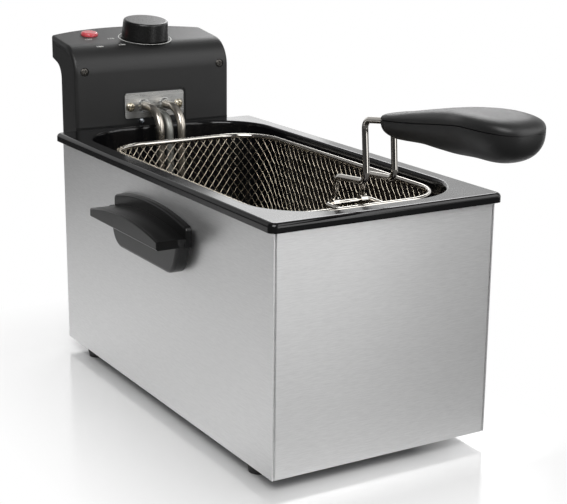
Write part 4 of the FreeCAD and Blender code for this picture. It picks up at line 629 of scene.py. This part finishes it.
def makeScrewTree(finish):
    # a head of unit size with its cross cut in, then stretched to size and set on each spot
    tree, given = newTree("crossHeads", screws["sizes"])
    ball = addNode(tree, "GeometryNodeMeshUVSphere", {"Segments": given["Segments"], "Rings": given["Rings"],
                                                      "Radius": 1.0})
    spot = addNode(tree, "GeometryNodeInputPosition")
    level = addNode(tree, "ShaderNodeVectorMath", (spot, (1, 1, 0)), operation="MULTIPLY")
    away = addNode(tree, "ShaderNodeVectorMath", (level,), operation="LENGTH").outputs["Value"]
    apart = addNode(tree, "ShaderNodeMath", (away, given["Least"]), operation="MAXIMUM")
    push = addNode(tree, "ShaderNodeMath", (apart, given["Squareness"]), operation="POWER")
    pushes = addNode(tree, "ShaderNodeCombineXYZ", {"X": push, "Y": push, "Z": 1.0})
    pushed = addNode(tree, "ShaderNodeVectorMath", (spot, pushes), operation="MULTIPLY")
    # nothing of it lies below the seat
    flat = addNode(tree, "ShaderNodeVectorMath", (pushed, (-2, -2, 0)), operation="MAXIMUM")
    pan = addNode(tree, "GeometryNodeSetPosition", {"Geometry": ball, "Position": flat})
    head = addNode(tree, "GeometryNodeMergeByDistance", {"Geometry": pan, "Distance": given["Weld"]})
    narrow = addNode(tree, "ShaderNodeMath", (given["Slot"], given["Radius"]), operation="DIVIDE")
    depth = addNode(tree, "ShaderNodeMath", (given["Recess"], given["Height"]), operation="DIVIDE")
    deep = addNode(tree, "ShaderNodeMath", (depth, 2.0), operation="MULTIPLY")
    for x, y in ((given["Bar Length"], narrow), (narrow, given["Bar Length"])):
        size = addNode(tree, "ShaderNodeCombineXYZ", {"X": x, "Y": y, "Z": deep})
        bar = addNode(tree, "GeometryNodeMeshCube", {"Size": size})
        raised = addNode(tree, "GeometryNodeTransform", {"Geometry": bar, "Translation": (0, 0, 1)})
        head = addNode(tree, "GeometryNodeMeshBoolean", {"Mesh 1": head, "Mesh 2": raised},
                       operation="DIFFERENCE", solver="EXACT")
    stretch = addNode(tree, "ShaderNodeCombineXYZ", {"X": given["Radius"], "Y": given["Radius"],
                                                     "Z": given["Height"]})
    sized = addNode(tree, "GeometryNodeTransform", {"Geometry": head, "Scale": stretch})
    facing = addNode(tree, "GeometryNodeInputNamedAttribute", {"Name": "facing"}, data_type="FLOAT_VECTOR")
    turned = addNode(tree, "FunctionNodeAlignRotationToVector", {"Vector": facing}, axis="Z")
    # inputs 2 and 3 of this node are the least and the most, and output 1 the number
    roll = addNode(tree, "FunctionNodeRandomValue", {2: 0.0, 3: given["Most Roll"], "Seed": given["Seed"]},
                   data_type="FLOAT")
    spin = addNode(tree, "ShaderNodeCombineXYZ", {"Z": roll.outputs[1]})
    rolled = addNode(tree, "FunctionNodeRotateRotation", {"Rotation": turned, "Rotate By": spin},
                     rotation_space="LOCAL")
    heads = addNode(tree, "GeometryNodeInstanceOnPoints", {"Points": given["Geometry"], "Instance": sized,
                                                           "Rotation": rolled})
    endTree(tree, heads, finish)
    return tree


def makeScrews(name, body, slot, node, places, facing, finish=None):
    # one head at each place, all facing the same way
    spots = bpy.data.meshes.new(name + "Spots")
    spots.from_pydata(places, [], [])
    facings = spots.attributes.new("facing", "FLOAT_VECTOR", "POINT")
    for item in facings.data:
        item.vector = facing
    tree = makeScrewTree(finish or finishes[slot])
    mesh = growMesh(name, tree, dict(screws["sizes"], **screws[name]), spots)
    smoothMesh(mesh, screws["sharp"])
    addPiece(name, mesh, body, slot, node)


def makeAllScrews():
    forwards, downwards = (0, -1, 0), (0, 0, -1)
    radius, height = screws["sizes"]["Radius"], screws["sizes"]["Height"]
    low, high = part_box("head_screws")
    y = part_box("head_front_cover")[0][1] + screws["sunk"]
    spots = [(x, y, (low[2] + high[2]) / 2) for x in (radius - high[0], high[0] - radius)]
    makeScrews("headScrews", "head", "black_screw", "head_screws", spots, forwards)
    low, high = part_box("plate_screws")
    edge = high[0] - screws["plateScrews"]["Radius"]
    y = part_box("element_plate")[0][1]
    spots = [(x, y, (low[2] + high[2]) / 2) for x in (-edge, edge)]
    makeScrews("plateScrews", "head", "screw_plate", "plate_screws", spots, forwards)
    low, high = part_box("earth_screw")
    y = low[1] + screws["earthScrew"]["Height"]
    spots = [((low[0] + high[0]) / 2, y, (low[2] + high[2]) / 2)]
    makeScrews("earthScrew", "head", "screw_plate", "earth_screw", spots, forwards, ownFinishes["bolt"])
    low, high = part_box("foot_screws")
    z = low[2] + height
    spots = [(x, y, z) for x in (radius - high[0], high[0] - radius)
             for y in (low[1] + radius, high[1] - radius)]
    makeScrews("footScrews", "housing", "screw_plate", "foot_screws", spots, downwards)
    print("screws set")


# Grip: two moulded shells, drawn as sections from the wires to the tip
gripTip, gripRear = [corner[1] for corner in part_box("grip_bottom")]
grip = {
    "start": gripRear - 3 * mm,      # rear end along the fryer
    "crownTop": 3.2,                 # how square the upper shell is
    "crownBottom": 2.3,
    "seamWidth": 0.9 * mm,
    "seamDepth": 1.2 * mm,
    # thumb dimple: share of the length, depth, and its reach along and across
    "dimple": (0.80, 1.3 * mm, 20 * mm, 13 * mm),
    "noseFrom": 0.74, "noseEnd": 0.99,        # shares of the length between which the nose closes
    "nosePowers": (2.9, 2.4),
    "rearRound": 0.02, "rearSmall": 0.90,     # the rear end's rounding, and its size at the very end
    "fineFrom": 0.86, "steps": (8, 60, 26),   # rings in the rear, the middle and the nose
    "points": 36, "weld": 0.01 * mm, "sharp": 50,
    # share of the length, then half width, rise above the seam, depth below it and seam height in mm
    "sections": (
        (0.00, 16.5, 4.2, 12.0, 279.9), (0.07, 18.0, 5.0, 14.6, 280.8), (0.26, 18.8, 8.0, 15.8, 283.7),
        (0.42, 20.2, 9.3, 19.4, 287.0), (0.55, 21.9, 9.7, 22.0, 289.7), (0.74, 25.5, 8.8, 23.4, 292.7),
        (0.90, 25.5, 8.8, 23.4, 292.2), (1.00, 25.5, 8.8, 23.4, 291.0),
    ),
}
gripLength = (grip["start"] - gripTip) / grip["noseEnd"]


def smoothThrough(rows, share, column):
    # a smooth curve through the section table that never overshoots it
    places = [row[0] for row in rows]
    sizes = [row[column] for row in rows]
    rates = [(sizes[i + 1] - sizes[i]) / (places[i + 1] - places[i]) for i in range(len(rows) - 1)]
    slopes = [rates[0]]
    for before, after in zip(rates, rates[1:]):
        slopes.append(0.0 if before * after <= 0 else 2 * before * after / (before + after))
    slopes.append(rates[-1])
    k = max(i for i in range(len(rates)) if places[i] <= share)
    span = places[k + 1] - places[k]
    t = (share - places[k]) / span
    return ((1 + 2 * t) * (1 - t) ** 2 * sizes[k] + t * (1 - t) ** 2 * span * slopes[k]
            + t * t * (3 - 2 * t) * sizes[k + 1] + t * t * (t - 1) * span * slopes[k + 1])


def gripSection(share):
    # one ring of the grip, from the right seam over the top and back underneath
    rows = grip["sections"]
    half, rise, depth, seam = [smoothThrough(rows, share, column) * mm for column in (1, 2, 3, 4)]
    bluntness, roundness = grip["nosePowers"]
    nose = 1.0
    if share >= grip["noseFrom"]:
        past = (share - grip["noseFrom"]) / (grip["noseEnd"] - grip["noseFrom"])
        nose = max(0.0, 1 - past ** bluntness) ** (1 / roundness)
    inside = 1 - min(share / grip["rearRound"], 1.0)
    rear = grip["rearSmall"] + (1 - grip["rearSmall"]) * math.sqrt(max(0.0, 1 - inside ** 2))
    half, rise, depth = [size * nose * min(1.0, rear) for size in (half, rise, depth)]
    y = grip["start"] - gripLength * share
    middle, sunk, longWay, sideWay = grip["dimple"]
    along = (share - middle) * gripLength / longWay
    gap, notch = grip["seamWidth"] / 2 * nose, min(grip["seamDepth"], half / 2)
    angles = [math.pi * i / grip["points"] for i in range(grip["points"] + 1)]
    ring = []
    for angle in angles:
        across, up = math.cos(angle), math.sin(angle)
        x = half * math.copysign(abs(across) ** (2 / grip["crownTop"]), across)
        z = rise * abs(up) ** (2 / grip["crownTop"])
        if rise:
            z -= sunk * nose * math.exp(-along ** 2 - (x / sideWay) ** 2) * min(1.0, z / rise)
        ring.append((x, y, seam + gap + z))
    ring.append((-half + notch, y, seam))
    for angle in angles:
        across, down = -math.cos(angle), math.sin(angle)
        x = half * math.copysign(abs(across) ** (2 / grip["crownBottom"]), across)
        ring.append((x, y, seam - gap - depth * abs(down) ** (2 / grip["crownBottom"])))
    ring.append((half - notch, y, seam))
    return ring


def makeGrip():
    rearSteps, middleSteps, noseSteps = grip["steps"]
    rear, fine, end = grip["rearRound"], grip["fineFrom"], grip["noseEnd"]
    shares = [rear * (1 - math.cos(math.pi / 2 * i / rearSteps)) for i in range(rearSteps)]
    shares += [rear + (fine - rear) * i / middleSteps for i in range(middleSteps + 1)]
    shares += [fine + (end - fine) * math.sin(math.pi / 2 * (i + 1) / noseSteps) for i in range(noseSteps)]
    rings = [gripSection(share) for share in shares]
    size = len(rings[0])
    points = [point for ring in rings for point in ring]
    faces = joinRings(len(rings), size) + [tuple(range(size))]
    mesh = meshOf("basketGrip", points, faces, grip["weld"])
    smoothMesh(mesh, grip["sharp"])
    addPiece("basketGrip", mesh, "handle", "black_moulding", "grip_top", "grip_bottom")
    print("grip:", len(mesh.polygons), "faces")


# Dial: printed ring round the knob and heat numbers beside it
dial = {
    "ringRadius": 26.0 * mm, "ringWidth": 0.8 * mm, "ringSteps": 90,
    "proud": 0.08 * mm, "sunk": 0.05 * mm,
    "from": 125, "to": 395,          # degrees, from the right round over the back
    # each number with its place from the knob's axis, to the right and to the back, in mm
    "numbers": (("150", -58, 6), ("170", -35, 4), ("180", -58, -22), ("190", -34, -20)),
    "numberSize": 5.0 * mm, "numberSteps": 3,
}


def dialFrame():
    # the head's sloping top, as a frame round the knob's axis
    turn = joints["knob_turn"]
    up = Vector(turn["axis"]).normalized()
    right = Vector((1, 0, 0))
    back = up.cross(right)
    matrix = Matrix((right, back, up)).transposed().to_4x4()
    matrix.translation = Vector(turn["pos_m"])
    return matrix


def makeDialRing(place):
    steps, low, high = dial["ringSteps"], -dial["sunk"], dial["proud"]
    inner, outer = [dial["ringRadius"] + side * dial["ringWidth"] / 2 for side in (-1, 1)]
    section = ((inner, low), (outer, low), (outer, high), (inner, high))
    size = len(section)
    points = []
    for i in range(steps + 1):
        angle = math.radians(dial["from"] + (dial["to"] - dial["from"]) * i / steps)
        points += [place @ Vector((radius * math.cos(angle), radius * math.sin(angle), z))
                   for radius, z in section]
    ends = [tuple(range(size)), tuple(size * steps + k for k in reversed(range(size)))]
    mesh = meshOf("dialRing", points, joinRings(steps + 1, size) + ends)
    mesh.materials.append(ownFinishes["ink"])
    addPiece("dialRing", mesh, "head", "black_moulding")


def makeDialNumbers(place):
    for i, (text, x, y) in enumerate(dial["numbers"]):
        name = "dialNumber%d" % i
        curve = bpy.data.curves.new(name, "FONT")
        curve.body = text
        curve.size = dial["numberSize"]
        curve.align_x, curve.align_y = "CENTER", "CENTER"
        curve.extrude = dial["proud"]
        curve.resolution_u = dial["numberSteps"]
        mesh = plainMesh(newObject(name + "Text", curve))
        mesh.transform(place @ Matrix.Translation((x * mm, y * mm, 0)))
        mesh.materials.clear()
        mesh.materials.append(ownFinishes["ink"])
        addPiece(name, mesh, "head", "black_moulding")


# Front seams: a bead of weld in the gap on each side of the front panel, set back from its face
seams = {
    "setBack": 0.85 * mm, "deep": 1.0 * mm, "wide": 0.8 * mm, "crown": 0.1 * mm,
    "sheet": 1.0 * mm,               # thickness of the side walls
    "bite": 0.1 * mm,                # how far it goes into the wall
    "endInset": 0.2 * mm,
}


def makeSeams():
    low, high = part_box("front_panel")
    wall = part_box("side_wrapper")[1][0] - seams["sheet"] + seams["bite"]
    inner = wall - seams["wide"]
    face = low[1] + seams["setBack"]
    shoulder, back = face + seams["crown"], face + seams["deep"]
    outline = ((inner, back), (inner, shoulder), ((inner + wall) / 2, face), (wall, shoulder), (wall, back))
    size = len(outline)
    points, faces = [], []
    for side in (-1, 1):
        start = len(points)
        for z in (low[2] + seams["endInset"], high[2] - seams["endInset"]):
            faces.append(tuple(range(len(points), len(points) + size)))
            points += [(side * x, y, z) for x, y in outline]
        faces += joinRings(2, size, start)
    addPiece("seamBeads", meshOf("seamBeads", points, faces), "housing", "brushed_sheet")
    print("seams closed")


makeBasketMesh()
makeRimWraps()
makeAllScrews()
makeGrip()
dialPlace = dialFrame()
makeDialRing(dialPlace)
makeDialNumbers(dialPlace)
print("dial printed")
makeSeams()


# Stage: white studio floor, soft light, and the camera
studio = {
    "floorSize": 12.0, "floorGloss": 0.50, "floorRough": 0.15,
    "mirrorFront": (-0.215, -0.165), "frontMirrorPaintedShade": 0.22,     # painted shade: the floor mirrors less in front, which darkens it there
    "floorSeen": 0.97,                                      # shade of the floor to the eye
    "floorNear": 1.0, "floorFarPaintedShade": 0.10,                     # and to other rays: full near the fryer, and away from it painted shade that stands in for the lamps' fall-off
    # painted shade: outside these edges the floor darkens for all but the eye's rays
    "litPatchLeft": (-0.68, -0.42), "litPatchFront": (-0.28, -0.04), "litPatchBack": (1.0, 0.55),
    "pureAfter": 0.145, "pureRightPaintedLight": 0.06,                  # past this the eye sees plain white, and sooner on the right, as painted light over the floor's shade there
    "skyForDiffuse": 0.42, "roomDark": 0.12, "ceilingDark": 0.25,
    "roomTurn": (0.82, 0.5, 0.3),                           # towards the white backdrop, from the dark room
    "roomEdge": (-0.3, 0.6), "ceilingEdge": (0.3, 0.55),    # where each of them fades out
}
lamps = {
    "key": {"place": (-0.85, -1.05, 1.55), "aim": (0, 0, 0.1), "size": (1.2, 1.2), "watts": 28.0},
    "fill": {"place": (1.15, -1.0, 1.4), "aim": (0, 0, 0.15), "size": (1.2, 1.2), "watts": 10.0},
    "front": {"place": (0.43, -1.3, 0.45), "aim": (0, -0.1, 0.15), "size": (0.6, 0.9), "watts": 4.0},
    "back": {"place": (1.34, 1.72, 1.5), "aim": (0, 0, 0.2), "size": (0.9, 1.0), "watts": 13.0},
    "strip": {"place": (1.1, 1.9, 0.78), "aim": (0, 0, 0.2), "size": (0.28, 0.55), "watts": 0.5},
}
cameraView = {
    "place": (-0.6027, -1.0110, 0.4594), "azimuth": -31.0, "elevation": 15.31, "roll": 0.56,
    "lens": 90.04, "sensor": 36.0, "clipStart": 0.01,
}


def makeWorld():
    # white backdrop to the eye; metal sees it too, with the darker room it faces on the near side
    world = bpy.data.worlds.new("studioWorld")
    bpy.context.scene.world = world
    world.use_nodes = True
    tree = world.node_tree
    tree.nodes.clear()
    path = addNode(tree, "ShaderNodeLightPath").outputs
    ray = addNode(tree, "ShaderNodeTexCoord").outputs["Generated"]
    toward = addNode(tree, "ShaderNodeVectorMath", (ray, studio["roomTurn"]), operation="DOT_PRODUCT")
    (roomLow, roomHigh), (ceilingLow, ceilingHigh) = studio["roomEdge"], studio["ceilingEdge"]
    walls = addNode(tree, "ShaderNodeMapRange", {"Value": toward.outputs["Value"], "From Min": roomLow,
                                                 "From Max": roomHigh, "To Min": studio["roomDark"]},
                    interpolation_type="SMOOTHSTEP")
    height = addNode(tree, "ShaderNodeSeparateXYZ", {"Vector": ray}).outputs["Z"]
    ceiling = addNode(tree, "ShaderNodeMapRange", {"Value": height, "From Min": ceilingLow,
                                                   "From Max": ceilingHigh, "To Min": 1.0,
                                                   "To Max": studio["ceilingDark"]})
    room = addNode(tree, "ShaderNodeMath", (walls, ceiling), operation="MULTIPLY")
    mirrored = addNode(tree, "ShaderNodeMath", (path["Is Glossy Ray"], path["Is Transmission Ray"]),
                       operation="MAXIMUM")
    plain = addNode(tree, "ShaderNodeMapRange", {"Value": path["Is Camera Ray"],
                                                 "To Min": studio["skyForDiffuse"]})
    strength = addNode(tree, "ShaderNodeMix", {"Factor": mirrored, "A": plain, "B": room}, data_type="FLOAT")
    sky = addNode(tree, "ShaderNodeBackground", {"Color": (1, 1, 1, 1), "Strength": strength})
    addNode(tree, "ShaderNodeOutputWorld", {"Surface": sky})


# Gloss white acrylic sheet: white to the eye, with the fryer's shadow and a soft mirror image near it; to other
# rays it darkens away from the fryer as painted shade, in front it mirrors less as painted shade, and on the right
# plain white is painted over its shade
def whiteAcrylic():
    finish, tree, spot = newFinish("glossWhiteAcrylic")
    eye = addNode(tree, "ShaderNodeLightPath").outputs["Is Camera Ray"]
    where = addNode(tree, "ShaderNodeSeparateXYZ", {"Vector": spot}).outputs
    # painted shade: to all but the eye's rays the floor darkens away from the fryer, standing in for the lamps'
    # fall-off
    inside = 1.0
    for axis, edge in (("X", "litPatchLeft"), ("Y", "litPatchFront"), ("Y", "litPatchBack")):
        low, high = studio[edge]
        fade = addNode(tree, "ShaderNodeMapRange", {"Value": where[axis], "From Min": low, "From Max": high},
                       interpolation_type="SMOOTHSTEP")
        inside = addNode(tree, "ShaderNodeMath", (inside, fade), operation="MULTIPLY")
    paintedFalloffShade = addNode(tree, "ShaderNodeMapRange", {"Value": inside, "To Min": studio["floorFarPaintedShade"],
                                                 "To Max": studio["floorNear"]})
    shade = addNode(tree, "ShaderNodeMapRange", {"Value": eye, "To Min": paintedFalloffShade,
                                                 "To Max": studio["floorSeen"]})
    matt = addNode(tree, "ShaderNodeBsdfDiffuse", {"Color": shade})
    # painted shade: in front of the fryer the mirror is turned down, darkening the floor there
    low, high = studio["mirrorFront"]
    frontPaintedShade = addNode(tree, "ShaderNodeMapRange", {"Value": where["Y"], "From Min": low, "From Max": high,
                                                  "To Min": studio["frontMirrorPaintedShade"]})
    gloss = addNode(tree, "ShaderNodeBsdfGlossy", {"Color": frontPaintedShade, "Roughness": studio["floorRough"]})
    shine = addNode(tree, "ShaderNodeMath", (eye, studio["floorGloss"]), operation="MULTIPLY")
    near = addNode(tree, "ShaderNodeMixShader", (shine, matt, gloss))
    # away from the fryer's foot the eye sees plain backdrop white; the box is cut short on the right, so there it
    # paints light over the floor's shade
    low, high = [list(corner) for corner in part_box("base_plate")]
    high[0] -= studio["pureRightPaintedLight"]
    middle = [(low[axis] + high[axis]) / 2 for axis in (0, 1)] + [0]
    half = [(high[axis] - low[axis]) / 2 for axis in (0, 1)] + [0]
    offset = addNode(tree, "ShaderNodeVectorMath", (spot, middle), operation="SUBTRACT")
    away = addNode(tree, "ShaderNodeMapRange", {"Value": beyondBox(tree, offset, half),
                                                "From Max": studio["pureAfter"]})
    share = addNode(tree, "ShaderNodeMath", (away, eye), operation="MULTIPLY")
    pure = addNode(tree, "ShaderNodeEmission", {"Color": (1, 1, 1, 1), "Strength": 1.0})
    both = addNode(tree, "ShaderNodeMixShader", (share, near, pure))
    addNode(tree, "ShaderNodeOutputMaterial", {"Surface": both})
    return finish


def makeFloor():
    half = studio["floorSize"] / 2
    corners = [(-half, -half, 0), (half, -half, 0), (half, half, 0), (-half, half, 0)]
    mesh = meshOf("floor", corners, [(0, 1, 2, 3)])
    mesh.materials.append(whiteAcrylic())
    floor = newObject("studioFloor", mesh)


def makeLamp(name, plan):
    lamp = bpy.data.lights.new(name + "Light", "AREA")
    lamp.shape = "RECTANGLE"
    lamp.size, lamp.size_y = plan["size"]
    lamp.energy = plan["watts"]
    holder = newObject(name + "Light", lamp)
    holder.location = plan["place"]
    aim = Vector(plan["aim"]) - Vector(plan["place"])
    holder.rotation_euler = aim.to_track_quat("-Z", "Y").to_euler()
    holder.visible_camera = False


def makeCamera():
    lens = bpy.data.cameras.new("studioCamera")
    lens.lens = cameraView["lens"]
    lens.sensor_width = cameraView["sensor"]
    lens.clip_start = cameraView["clipStart"]
    camera = newObject("studioCamera", lens)
    turn = Matrix.Rotation(math.radians(cameraView["azimuth"]), 4, "Z")
    turn = turn @ Matrix.Rotation(math.radians(90 - cameraView["elevation"]), 4, "X")
    turn = turn @ Matrix.Rotation(math.radians(cameraView["roll"]), 4, "Z")
    camera.matrix_world = Matrix.Translation(cameraView["place"]) @ turn
    bpy.context.scene.camera = camera


makeWorld()
makeFloor()
for lampName, lampPlan in lamps.items():
    makeLamp(lampName, lampPlan)
makeCamera()
bpy.context.scene.view_settings.view_transform = "Standard"
print("stage set")
